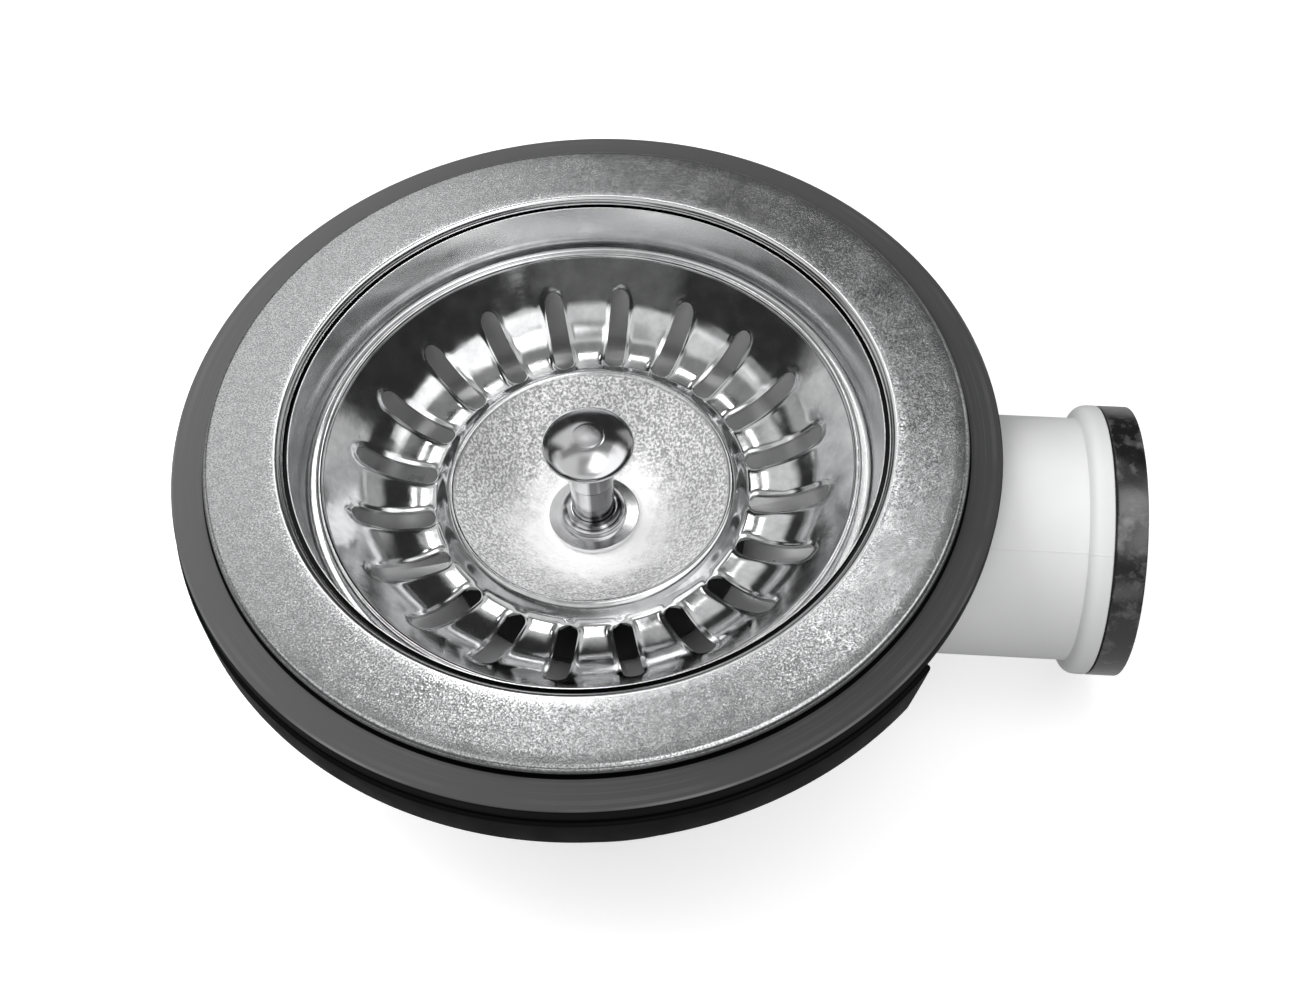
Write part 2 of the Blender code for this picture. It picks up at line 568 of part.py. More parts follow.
def grip_bush(turn_axis):
    """Nylon bush in the screw's hollow head, which the basket's plug pushes into."""
    flange_top = PLUG_TOP - GAP - BUSH_FLANGE_THICKNESS
    outline = [(BUSH_BORE_RADIUS, flange_top), (HEAD_RADIUS, flange_top), (HEAD_RADIUS, PLUG_TOP - GAP),
               (BUSH_RADIUS, PLUG_TOP - GAP), (BUSH_RADIUS, PLUG_BOTTOM), (BUSH_BORE_RADIUS, PLUG_BOTTOM)]
    bush = turned("grip_bush", outline, turn_axis)
    finish_piece(bush, (0.75, 0.74, 0.70), 0.5, 0.0)


def slot_cutter(basket_axis):
    """All the basket's slots, as upright prisms with round ends."""
    inner = RIDGE_RADIUS + SLOT_FROM_RIDGE + SLOT_WIDTH / 2
    outer = CREASE_RADIUS + SLOT_PAST_CREASE - SLOT_WIDTH / 2
    outline = arc((outer, 0), SLOT_WIDTH / 2, -90, 90, 4) + arc((inner, 0), SLOT_WIDTH / 2, 90, 270, 4)
    solid = bmesh.new()
    for index in range(SLOTS):
        angle = math.radians(SLOT_PHASE_DEG) + 2 * math.pi * index / SLOTS
        prism(solid, outline, -TROUGH_DEPTH - BASKET_SHEET - OVERRUN, -RIM_DEPTH - BASKET_SHEET,
              Matrix.Rotation(angle, 4, "Z"))
    return add_object("basket_slots", solid, basket_axis)


def basket_shell(basket_axis):
    """Beaded rim, sloping wall, slotted trough, ridge and dished floor in one sheet."""
    bead = (RIM_RADIUS - RIM_BEAD, RIM_DEPTH + RIM_BEAD)
    crease = (CREASE_RADIUS, CREASE_DEPTH)
    wall_top = (bead[0] - RIM_BEAD * math.cos(math.radians(WALL_LEAD_DEG)), bead[1])
    lead = (crease[1] - wall_top[1]) / (wall_top[0] - crease[0])
    trough_start = (TROUGH_RADIUS, TROUGH_DEPTH)
    below_crease = (CREASE_RADIUS - (TROUGH_DEPTH - CREASE_DEPTH) / lead, TROUGH_DEPTH)
    ridge = (RIDGE_RADIUS, RIDGE_DEPTH)
    dish_edge = (DISH_FLAT_RADIUS, DISH_DEPTH)
    dish_bend = (RIDGE_RADIUS + (DISH_FLAT_RADIUS - RIDGE_RADIUS) * (1 - DISH_FULLNESS_SHARE / 2),
                 RIDGE_DEPTH + DISH_DROP * DISH_FULLNESS_SHARE)
    face = [wall_top] + bend(crease, below_crease, trough_start, 4)
    face += ease((RIDGE_RADIUS + RIDGE_FLANK, TROUGH_DEPTH), ridge, 4)
    face += bend(ridge, dish_bend, dish_edge, 4)[1:]
    face += [(THREAD_HOLE_RADIUS, DISH_DEPTH)]
    back = sheet_side(face, -BASKET_SHEET)
    outline = arc(bead, RIM_BEAD, 100, -150, 5) + face[1:] + back[:0:-1]
    shell = turned("basket_shell", outline, basket_axis, BASKET_SEGMENTS)
    combine(shell, slot_cutter(basket_axis), "DIFFERENCE")
    return finish_piece(shell, (0.70, 0.71, 0.72), 0.14, 1.0)


def stem_pieces(basket_axis):
    """Knob, sleeve, stem and the collar at its foot."""
    thread_top = KNOB_DEPTH + KNOB_ROOF + GAP
    outline = [(0, thread_top), (STEM_THREAD_RADIUS, thread_top), (STEM_THREAD_RADIUS, STEM_SHOULDER),
               (STEM_RADIUS, STEM_SHOULDER), (STEM_RADIUS, STEM_SEAT), (STEM_THREAD_RADIUS, STEM_SEAT),
               (STEM_THREAD_RADIUS, STEM_END), (0, STEM_END)]
    finish_piece(turned("stem", outline, basket_axis), (0.66, 0.67, 0.68), 0.2, 1.0)

    sleeve = ring("knob_sleeve", THREAD_HOLE_RADIUS, SLEEVE_RADIUS, SLEEVE_TOP, SLEEVE_BOTTOM, basket_axis)
    finish_piece(sleeve, (0.70, 0.70, 0.71), 0.12, 1.0)

    rim_depth = KNOB_DEPTH + KNOB_DOME
    knob_bottom = KNOB_DEPTH + KNOB_HEIGHT
    outline = bend((0, KNOB_DEPTH), (KNOB_RADIUS, KNOB_DEPTH), (KNOB_RADIUS, rim_depth), 5)
    outline += bend((KNOB_RADIUS, rim_depth), (KNOB_RADIUS, (rim_depth + knob_bottom) / 2),
                    (KNOB_NECK_RADIUS, knob_bottom), 3)[1:]
    outline += [(THREAD_HOLE_RADIUS, knob_bottom), (THREAD_HOLE_RADIUS, KNOB_DEPTH + KNOB_ROOF),
                (0, KNOB_DEPTH + KNOB_ROOF)]
    finish_piece(turned("pull_knob", outline, basket_axis), (0.70, 0.70, 0.71), 0.1, 1.0)

    bottom = DISH_DEPTH - GAP
    bore = STEM_RADIUS + GAP
    outline = [(bore, bottom - COLLAR_THICKNESS - COLLAR_HUB_HEIGHT)]
    outline += bend((COLLAR_HUB_RADIUS, bottom - COLLAR_THICKNESS - COLLAR_HUB_HEIGHT),
                    (COLLAR_HUB_RADIUS, bottom - COLLAR_THICKNESS),
                    (COLLAR_RADIUS, bottom - COLLAR_THICKNESS), 3)
    outline += [(COLLAR_RADIUS, bottom), (bore, bottom)]
    finish_piece(turned("stem_collar", outline, basket_axis), (0.68, 0.69, 0.70), 0.2, 1.0)


def seal_pieces(basket_axis):
    """Rubber seal, backing plate, hexagon nut, nylon plug and its rubber ring under the basket."""
    underside = SEAL_TOP + SEAL_THICKNESS
    lip_inner = SEAL_RADIUS - SEAL_LIP_WIDTH
    outline = [(THREAD_HOLE_RADIUS, SEAL_TOP), (SEAL_FLAT_RADIUS, SEAL_TOP),
               (SEAL_RADIUS, SEAL_LIP_BOTTOM - SEAL_LIP_DROP / 2), (SEAL_RADIUS, SEAL_LIP_BOTTOM),
               (lip_inner, SEAL_LIP_BOTTOM), (SEAL_FLAT_RADIUS, underside), (THREAD_HOLE_RADIUS, underside)]
    finish_piece(turned("basket_seal", outline, basket_axis, PIPE_SEGMENTS), (0.02, 0.02, 0.02), 0.6, 0.0)

    plate = ring("seal_plate", THREAD_HOLE_RADIUS, PLATE_RADIUS, PLATE_TOP, PLATE_TOP + PLATE_THICKNESS,
                 basket_axis)
    finish_piece(plate, (0.60, 0.60, 0.60), 0.4, 1.0)

    nut = cylinders("stem_nut", [(0, 0)], NUT_FLATS / math.sqrt(3), NUT_TOP, NUT_TOP + NUT_HEIGHT,
                    basket_axis, 6)
    nut_bore = cylinders("nut_bore", [(0, 0)], THREAD_HOLE_RADIUS, NUT_TOP - OVERRUN,
                         NUT_TOP + NUT_HEIGHT + OVERRUN, basket_axis)
    combine(nut, nut_bore, "DIFFERENCE")
    finish_piece(nut, (0.60, 0.60, 0.60), 0.35, 1.0)

    ring_depth = (PLUG_TOP + PLUG_BOTTOM) / 2
    groove_half = GRIP_RING_SECTION + GAP
    groove_floor = PLUG_RADIUS - GRIP_GROOVE
    hole_bottom = STEM_END + GAP
    outline = [(THREAD_HOLE_RADIUS, PLUG_TOP), (PLUG_RADIUS, PLUG_TOP),
               (PLUG_RADIUS, ring_depth - groove_half), (groove_floor, ring_depth - groove_half),
               (groove_floor, ring_depth + groove_half), (PLUG_RADIUS, ring_depth + groove_half),
               (groove_floor, PLUG_BOTTOM), (0, PLUG_BOTTOM), (0, hole_bottom),
               (THREAD_HOLE_RADIUS, hole_bottom)]
    finish_piece(turned("grip_plug", outline, basket_axis), (0.78, 0.77, 0.73), 0.5, 0.0)
    grip_ring = round_ring("grip_ring", GRIP_RING_RADIUS, GRIP_RING_SECTION, ring_depth, basket_axis)
    finish_piece(grip_ring, (0.02, 0.02, 0.02), 0.6, 0.0)


def add_axis(name, parent=None, location=(0, 0, 0), turn=(0, 0, 0)):
    """An empty that carries the pieces placed from it."""
    axis = bpy.data.objects.new(name, None)
    bpy.context.scene.collection.objects.link(axis)
    axis.parent = parent
    axis.location = location
    axis.rotation_euler = turn
    return axis


def main():
    for obj in list(bpy.data.objects):
        bpy.data.objects.remove(obj)
    flange_top = add_axis("flange_top", location=(0, 0, BASE_DEPTH))
    outlet = add_axis("outlet_axis", flange_top, (0, 0, -OUTLET_DEPTH), (0, math.pi / 2, 0))
    turn_axis = add_axis("turn_axis", flange_top)
    basket_axis = add_axis("basket_axis", turn_axis)

    strainer_bowl(flange_top)
    seals(flange_top)
    waste_housing(flange_top, outlet)
    housing_floor(flange_top)
    outlet_pieces(outlet)
    clamp_pieces(flange_top)
    grip_bush(turn_axis)
    basket_shell(basket_axis)
    stem_pieces(basket_axis)
    seal_pieces(basket_axis)


main()
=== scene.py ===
"""The looks of a kitchen sink drain: brushed flange, polished strainer basket, black rubber gasket,
black housing and a white side outlet, on a pale floor under soft studio light.

Every piece is built again as a fine mesh in the place of its CAD node. Heights are in metres above
the floor, and an outline is a list of (radius, depth) points below the flange's top face.
"""

import math

import bmesh
import bpy
from mathutils import Matrix, Vector


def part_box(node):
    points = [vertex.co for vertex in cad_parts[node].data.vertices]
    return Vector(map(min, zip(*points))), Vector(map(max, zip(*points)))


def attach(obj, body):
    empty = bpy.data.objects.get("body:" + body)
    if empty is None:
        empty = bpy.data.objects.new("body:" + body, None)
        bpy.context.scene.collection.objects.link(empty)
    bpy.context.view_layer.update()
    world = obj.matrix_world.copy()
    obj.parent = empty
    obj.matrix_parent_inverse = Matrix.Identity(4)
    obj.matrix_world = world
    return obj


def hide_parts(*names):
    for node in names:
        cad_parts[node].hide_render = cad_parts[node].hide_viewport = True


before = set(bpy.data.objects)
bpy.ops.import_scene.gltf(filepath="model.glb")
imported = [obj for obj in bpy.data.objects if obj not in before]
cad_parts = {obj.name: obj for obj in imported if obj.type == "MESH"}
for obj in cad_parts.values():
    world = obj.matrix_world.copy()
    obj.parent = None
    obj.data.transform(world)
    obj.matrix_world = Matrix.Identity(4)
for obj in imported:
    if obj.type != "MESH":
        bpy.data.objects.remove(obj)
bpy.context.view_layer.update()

# The flange's radius and top face, the foot, and the outlet's end and axis, read from the frame
FLANGE_RADIUS, _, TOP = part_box("strainer_bowl")[1]
BASE_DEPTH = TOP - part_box("waste_housing")[0][2]
seal_low, seal_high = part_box("outlet_seal")
OUTLET_REACH = seal_high[0]
OUTLET_DEPTH = TOP - (seal_low[2] + seal_high[2]) / 2

# Clearance between pieces, and how far a cut runs past what it cuts
GAP = 0.0003
OVERRUN = 0.0020

# Facets round the large, middle and small pieces, and steps along a round corner, a curve and a softened edge
LARGE = 320
MIDDLE = 192
SMALL = 96
ROUND_STEPS = 8
CURVE_STEPS = 24
SOFT_STEPS = 2

# Least turn that is rounded, share of a side that a round corner may take, and creases kept sharp
LEAST_TURN_DEG = 12
CORNER_SHARE = 0.45
SHARP_DEG = 40
SHEET_SHARP_DEG = 60

# Flange and bowl
BOWL_SHEET = 0.0009
FLANGE_EDGE_DROP = 0.0020
FLANGE_EDGE_ROUND = 0.0010
FLANGE_INNER_RADIUS = 0.0455
LIP_ROUND = 0.0009
LEDGE_DROP = 0.0010
LEDGE_WIDTH = 0.0011
LEDGE_GROOVE_WIDTH = 0.0007
LEDGE_GROOVE_DEPTH = 0.0007
BOWL_TAPER = 0.0014
BOWL_CORNER_ROUND = 0.0060
DRAIN_HOLE_RADIUS = 0.0042
DRAIN_HOLE_RING = 0.0155
DRAIN_HOLES = 8

# Strainer basket
BASKET_SHEET = 0.0008
RIM_RADIUS = 0.0418
RIM_BEAD = 0.00065
RIM_DEPTH = 0.0079
RIM_THROAT_GAP = 0.0015
RIM_SEAT_WIDTH = 0.0006
CREASE_RADIUS = 0.0362
CREASE_DROP = 0.0056
TROUGH_RADIUS = 0.0260
TROUGH_DROP = 0.0101
RIDGE_RADIUS = 0.0219
RIDGE_FLANK = 0.0032
RIDGE_RISE = 0.0021
DISH_DROP = 0.0100
DISH_FLAT_RADIUS = 0.0080
DISH_FULLNESS_SHARE = 0.80
# Painted highlight on the dish round the stem: its outer radius, full-white core, ragged edge and shift to
# the front
DISH_HIGHLIGHT_RADIUS = 0.0158
DISH_HIGHLIGHT_CORE = 0.00933
DISH_HIGHLIGHT_RAGGED = 0.0016
DISH_HIGHLIGHT_SHIFT = 0.0022
SLOTS = 20
SLOT_WIDTH = 0.0031
SLOT_PAST_CREASE = 0.00095
SLOT_FROM_RIDGE = 0.0030
SLOT_PHASE_DEG = 15.5
SLOT_LIP = 0.00022
SLOT_LIP_WIDTH = 0.00045
SLOT_EDGE_BEVEL = 0.00014

# Columns of its mesh between two slots, how far they crowd to the slots' edges, and rows from the rim
# to the slots, round their ends, along them, up the ridge, over the dish and up to the stem's hole
STRIP_COLUMNS = 18
STRIP_CROWDING = 0.10
RIM_ROWS = 14
END_ROWS = 9
SLOT_ROWS = 40
RIDGE_ROWS = 20
DISH_ROWS = 40
HOLE_ROWS = 6

# Stem, collar, sleeve and knob
STEM_RADIUS = 0.0034
STEM_THREAD_RADIUS = 0.0025
COLLAR_RADIUS = 0.0073
COLLAR_THICKNESS = 0.0009
COLLAR_HUB_RADIUS = 0.0051
COLLAR_HUB_HEIGHT = 0.0022
COLLAR_HUB_ROUND_SHARE = 0.6
SLEEVE_RADIUS = 0.0037
SLEEVE_LENGTH = 0.0060
KNOB_RADIUS = 0.0071
KNOB_DEPTH = 0.0042
KNOB_DOME = 0.0016
KNOB_CROWN = 0.0004
KNOB_EDGE_DROP = 0.0004
KNOB_HEIGHT = 0.0042
KNOB_NECK_RADIUS = 0.0041
KNOB_ROOF = 0.0020
KNOB_EDGE_SHARE = 0.86
KNOB_MARK_RADIUS = 0.0024
KNOB_MARK_WIDTH = 0.0005
KNOB_MARK_DEPTH = 0.00004
KNOB_RINGS = 60
SMALL_ROUND = 0.0002

# Under the basket, and the clamp screw
SEAL_RADIUS = 0.0243
SEAL_THICKNESS = 0.0020
SEAL_LIP_DROP = 0.0021
SEAL_LIP_WIDTH = 0.0020
SEAL_FLAT_RADIUS = 0.0170
PLATE_RADIUS = 0.0150
PLATE_THICKNESS = 0.0008
NUT_FLATS = 0.0080
NUT_HEIGHT = 0.0022
PLUG_RADIUS = 0.0046
PLUG_LENGTH = 0.0042
PLUG_END_WALL = 0.0010
GRIP_RING_SECTION = 0.0006
GRIP_GROOVE = 0.0009
CUP_WALL = 0.0009
CUP_FLANGE_WIDTH = 0.0013
CUP_FLANGE_THICKNESS = 0.0006
BUSH_WALL = 0.0012
BUSH_FLANGE_THICKNESS = 0.0007
HEAD_WALL = 0.0013
HEAD_FLOOR = 0.0012
HEAD_SLOT_WIDTH = 0.0020
HEAD_SLOT_DEPTH = 0.0016
SCREW_RADIUS = 0.0030
WASHER_THICKNESS = 0.0008
SEAL_WASHER_THICKNESS = 0.0008
INSERT_RADIUS = 0.0050
INSERT_LENGTH = 0.0050

# Gasket and housing
GASKET_RADIUS = 0.0620
GASKET_THICKNESS = 0.0025
GASKET_STEP = 0.0004
GASKET_ROUND = 0.0005
HOUSING_WALL = 0.0030
PLATE_WALL = 0.0022
POT_GAP = 0.0018
POT_TAPER = 0.0020
POT_CORNER_ROUND = 0.0030
SKIRT_PROUD = 0.0005
SKIRT_WALL = 0.0025
SKIRT_HEIGHT = 0.0058
SKIRT_CUT_TOP_DEG = 35.0
SKIRT_CUT_BOTTOM_DEG = 39.5
FLOOR_SEAT_WIDTH = 0.0025
FLOOR_SEAT_HEIGHT = 0.0012
PILLAR_WALL = 0.0032
FLOOR_DROP = 0.0010

# Side outlet
PIPE_RADIUS = 0.0192
PIPE_WALL = 0.0023
PIPE_FIT = 0.0005
PIPE_THROAT_GAP = 0.0010
SOCKET_LENGTH = 0.0040
SOCKET_WALL = 0.0026
END_SEAL_LENGTH = 0.0045
END_SEAL_LIP = 0.0012
BEAD_PROUD = 0.0021
BEAD_LENGTH = 0.0012
BEAD_SHOULDER = 0.0021
NOSE_DEPTH = 0.0003
PARTING_DEG = 39.5

# Camera: where it stands seen from the flange's centre, and the photo's pixel that the centre falls on
PHOTO_WIDTH = 1308
PHOTO_HEIGHT = 981
SENSOR_WIDTH = 36.0
FOCAL_PIXELS = 1673.23
CAMERA_AZIMUTH = 10.05
CAMERA_ELEVATION = 52.717
CAMERA_ROLL = -5.492
CAMERA_DISTANCE = 0.250
CAMERA_CLIP_START = 0.01
CENTRE_PIXEL = (585.374, 419.803)

# Radii and depths that follow, as in the CAD
GROOVE_HALF = LEDGE_GROOVE_WIDTH / 2
GROOVE_RADIUS = FLANGE_INNER_RADIUS - LEDGE_WIDTH + GROOVE_HALF + SMALL_ROUND
THROAT_RADIUS = RIM_RADIUS + RIM_THROAT_GAP
SEAT_RADIUS = RIM_RADIUS - RIM_SEAT_WIDTH
THREAD_HOLE_RADIUS = STEM_THREAD_RADIUS + GAP
GRIP_RING_RADIUS = PLUG_RADIUS - GRIP_GROOVE + GAP / 2 + GRIP_RING_SECTION
BUSH_BORE_RADIUS = GRIP_RING_RADIUS + GRIP_RING_SECTION + GAP
BUSH_RADIUS = BUSH_BORE_RADIUS + BUSH_WALL
HEAD_BORE_RADIUS = BUSH_RADIUS + GAP
HEAD_RADIUS = HEAD_BORE_RADIUS + HEAD_WALL
WELL_RADIUS = HEAD_RADIUS + GAP
CUP_RADIUS = WELL_RADIUS + CUP_WALL
CUP_FLANGE_RADIUS = CUP_RADIUS + CUP_FLANGE_WIDTH
SCREW_HOLE_RADIUS = SCREW_RADIUS + GAP
INSERT_HOLE_RADIUS = INSERT_RADIUS + GAP
PILLAR_RADIUS = INSERT_HOLE_RADIUS + PILLAR_WALL
POT_RADIUS = THROAT_RADIUS + BOWL_SHEET + POT_GAP
POT_FOOT_RADIUS = POT_RADIUS - POT_TAPER
SKIRT_RADIUS = GASKET_RADIUS + SKIRT_PROUD
PIPE_BORE_RADIUS = PIPE_RADIUS - PIPE_WALL
SOCKET_BORE_RADIUS = PIPE_RADIUS + PIPE_FIT
BEAD_RADIUS = PIPE_RADIUS + BEAD_PROUD
NOSE_RADIUS = PIPE_RADIUS - NOSE_DEPTH
GASKET_BORE_RADIUS = FLANGE_INNER_RADIUS + BOWL_SHEET + GAP
RIM_BOTTOM = RIM_DEPTH + 2 * RIM_BEAD
SEAT_DEPTH = RIM_BOTTOM + GAP
CREASE_DEPTH = RIM_DEPTH + CREASE_DROP
TROUGH_DEPTH = RIM_DEPTH + TROUGH_DROP
RIDGE_DEPTH = TROUGH_DEPTH - RIDGE_RISE
DISH_DEPTH = RIDGE_DEPTH + DISH_DROP
SEAL_TOP = DISH_DEPTH + BASKET_SHEET + GAP
SEAL_LIP_BOTTOM = SEAL_TOP + SEAL_THICKNESS + SEAL_LIP_DROP
BOWL_DEPTH = SEAL_LIP_BOTTOM + GAP
PLATE_TOP = SEAL_TOP + SEAL_THICKNESS + GAP
NUT_TOP = PLATE_TOP + PLATE_THICKNESS + GAP
PLUG_TOP = NUT_TOP + NUT_HEIGHT + GAP
PLUG_BOTTOM = PLUG_TOP + PLUG_LENGTH
STEM_END = PLUG_BOTTOM - PLUG_END_WALL - GAP
HEAD_BORE_BOTTOM = PLUG_BOTTOM + GAP
HEAD_BOTTOM = HEAD_BORE_BOTTOM + HEAD_FLOOR
WASHER_TOP = HEAD_BOTTOM + GAP
SEAL_WASHER_TOP = WASHER_TOP + WASHER_THICKNESS + GAP
WELL_DEPTH = SEAL_WASHER_TOP + SEAL_WASHER_THICKNESS + GAP
PILLAR_TOP = WELL_DEPTH + CUP_WALL + GAP
INSERT_TOP = PILLAR_TOP + GAP
INSERT_BOTTOM = INSERT_TOP + INSERT_LENGTH
GASKET_TOP = FLANGE_EDGE_DROP
GASKET_BOTTOM = GASKET_TOP + GASKET_STEP + GASKET_THICKNESS
HOUSING_TOP = GASKET_BOTTOM + GAP
CHAMBER_FLOOR = OUTLET_DEPTH + SOCKET_BORE_RADIUS + FLOOR_DROP
SLEEVE_TOP = KNOB_DEPTH + KNOB_HEIGHT + GAP
SLEEVE_BOTTOM = SLEEVE_TOP + SLEEVE_LENGTH
STEM_SHOULDER = SLEEVE_BOTTOM + GAP
STEM_SEAT = DISH_DEPTH - GAP


# Outlines

def arc(centre, radius, start_deg, end_deg, steps=ROUND_STEPS):
    """Points round a centre; 0 degrees points outward and 90 degrees down."""
    points = []
    for step in range(steps + 1):
        angle = math.radians(start_deg + (end_deg - start_deg) * step / steps)
        points.append((centre[0] + radius * math.cos(angle), centre[1] + radius * math.sin(angle)))
    return points


def bend(start, corner, end, steps=CURVE_STEPS):
    """A smooth bend from start to end that heads for the corner at both ends."""
    points = []
    for step in range(steps + 1):
        t = step / steps
        weights = ((1 - t) ** 2, 2 * t * (1 - t), t * t)
        points.append(tuple(sum(w * p[axis] for w, p in zip(weights, (start, corner, end)))
                            for axis in (0, 1)))
    return points


def ease(start, end, steps=CURVE_STEPS):
    """An S-shaped run that is level at both ends."""
    points = []
    for step in range(steps + 1):
        t = step / steps
        share = (1 - math.cos(math.pi * t)) / 2
        points.append((start[0] + (end[0] - start[0]) * t, start[1] + (end[1] - start[1]) * share))
    return points


def spaced(start, end, steps):
    """Evenly spaced values after start, up to end."""
    return [start + (end - start) * step / steps for step in range(1, steps + 1)]


def straight(start, end, steps):
    """Evenly spaced points after start, up to end."""
    return list(zip(spaced(start[0], end[0], steps), spaced(start[1], end[1], steps)))


def round_corner(point, before, after, steps):
    """A round corner that begins and ends at these offsets from its point."""
    return bend((point[0] + before[0], point[1] + before[1]), point,
                (point[0] + after[0], point[1] + after[1]), steps)


def rounded(outline, radius, steps=4):
    """A closed outline with each corner rounded, but for corners on the axis."""
    points = []
    for index, point in enumerate(outline):
        here = Vector(point)
        before = Vector(outline[index - 1]) - here
        after = Vector(outline[(index + 1) % len(outline)]) - here
        turn = math.pi - before.angle(after, math.pi)
        if here.x < GAP or turn < math.radians(LEAST_TURN_DEG):
            points.append(point)
            continue
        reach = min(radius, before.length * CORNER_SHARE, after.length * CORNER_SHARE)
        points += round_corner(point, before.normalized() * reach, after.normalized() * reach, steps)
    return points


def sheet_side(path, thickness):
    """The other side of a sheet whose face follows the path, at an even thickness."""
    side = []
    for index, point in enumerate(path):
        here = Vector(point)
        before = (here - Vector(path[index - 1])).normalized() if index else None
        after = (Vector(path[index + 1]) - here).normalized() if index < len(path) - 1 else before
        before = before or after
        along = (before + after).normalized()
        across = Vector((-along.y, along.x))
        side.append(tuple(here + across * thickness / along.dot(after)))
    return side


# Meshes

def add_piece(name, solid, sharp_deg=SHARP_DEG):
    """Turn a bmesh into a smooth named object."""
    bmesh.ops.recalc_face_normals(solid, faces=solid.faces[:])
    mesh = bpy.data.meshes.new(name)
    solid.to_mesh(mesh)
    solid.free()
    mesh.shade_smooth()
    mesh.set_sharp_from_angle(angle=math.radians(sharp_deg))
    obj = bpy.data.objects.new(name, mesh)
    bpy.context.scene.collection.objects.link(obj)
    return obj


def upright(radius, depth, angle):
    """A point of a piece that stands on the drain's axis."""
    return radius * math.cos(angle), radius * math.sin(angle), TOP - depth


def along_outlet(radius, along, angle):
    """A point of a piece on the outlet's axis; its depth runs out along the pipe."""
    return along, radius * math.sin(angle), TOP - OUTLET_DEPTH + radius * math.cos(angle)


def turned(name, outline, facets=SMALL, place=upright):
    """A closed outline turned about an axis, with its points on the axis made one."""
    solid = bmesh.new()
    rings = []
    for radius, depth in outline:
        if radius < GAP / 10:
            rings.append([solid.verts.new(place(0, depth, 0))] * facets)
        else:
            rings.append([solid.verts.new(place(radius, depth, 2 * math.pi * i / facets))
                          for i in range(facets)])
    for ring, following in zip(rings, rings[1:] + rings[:1]):
        if ring[0] is ring[1] and following[0] is following[1]:
            continue
        for i in range(facets):
            j = (i + 1) % facets
            corners = []
            for vert in (ring[i], ring[j], following[j], following[i]):
                if vert not in corners:
                    corners.append(vert)
            solid.faces.new(corners)
    return add_piece(name, solid)


def ring_outline(inner, outer, top, bottom):
    """A flat ring's section."""
    return [(outer, top), (outer, bottom), (inner, bottom), (inner, top)]


def prism(solid, outline, low, high):
    """Extrude a flat outline of (x, y) points from low to high."""
    floor = [solid.verts.new((x, y, low)) for x, y in outline]
    face = solid.faces.new(floor)
    raised = bmesh.ops.extrude_face_region(solid, geom=[face])["geom"]
    moved = [item for item in raised if isinstance(item, bmesh.types.BMVert)]
    bmesh.ops.translate(solid, verts=moved, vec=(0, 0, high - low))


def combine(obj, other, operation="DIFFERENCE"):
    """Cut the other solid out of this one, or join it on, and delete the other."""
    step = obj.modifiers.new("combine", "BOOLEAN")
    step.operation = operation
    step.solver = "EXACT"
    step.object = other
    apply_modifiers(obj)
    bpy.data.objects.remove(other)


def apply_modifiers(obj):
    """Replace an object's mesh by what its modifiers make of it."""
    mesh = bpy.data.meshes.new_from_object(obj.evaluated_get(bpy.context.evaluated_depsgraph_get()))
    obj.modifiers.clear()
    old = obj.data
    obj.data = mesh
    mesh.name = old.name
    bpy.data.meshes.remove(old)


def soften(obj, width, limit_deg=50):
    """Round the sharp edges of a piece that was cut."""
    step = obj.modifiers.new("soft_edges", "BEVEL")
    step.width = width
    step.segments = SOFT_STEPS
    step.limit_method = "ANGLE"
    step.angle_limit = math.radians(limit_deg)
    step.harden_normals = True


# Materials

# Middle range of a noise, the steel's lean to blue, and the share of their sheen that black pieces keep
NOISE_RANGE = (0.3, 0.7)
COOL = 0.01
BLACK_SHEEN = 0.08


class Tree:
    """A short way to build a node tree."""

    def __init__(self, tree):
        self.tree = tree

    def put(self, target, value):
        """Set an input, or link it to another node's output."""
        if isinstance(value, bpy.types.NodeSocket):
            self.tree.links.new(value, target)
        else:
            target.default_value = value

    def node(self, kind, inputs=(), **settings):
        made = self.tree.nodes.new(kind)
        for key, value in settings.items():
            setattr(made, key, value)
        for key, value in dict(inputs).items():
            self.put(made.inputs[key], value)
        return made

    def maths(self, operation, first, second=0.0):
        return self.node("ShaderNodeMath", {0: first, 1: second}, operation=operation).outputs[0]

    def times(self, first, second):
        return self.maths("MULTIPLY", first, second)

    def plus(self, first, second):
        return self.maths("ADD", first, second)

    def vectors(self, operation, inputs, output=0):
        return self.node("ShaderNodeVectorMath", inputs, operation=operation).outputs[output]

    def remap(self, value, low, high, out_low=0.0, out_high=1.0, **settings):
        inputs = {"Value": value, "From Min": low, "From Max": high, "To Min": out_low, "To Max": out_high}
        return self.node("ShaderNodeMapRange", inputs, **settings).outputs["Result"]


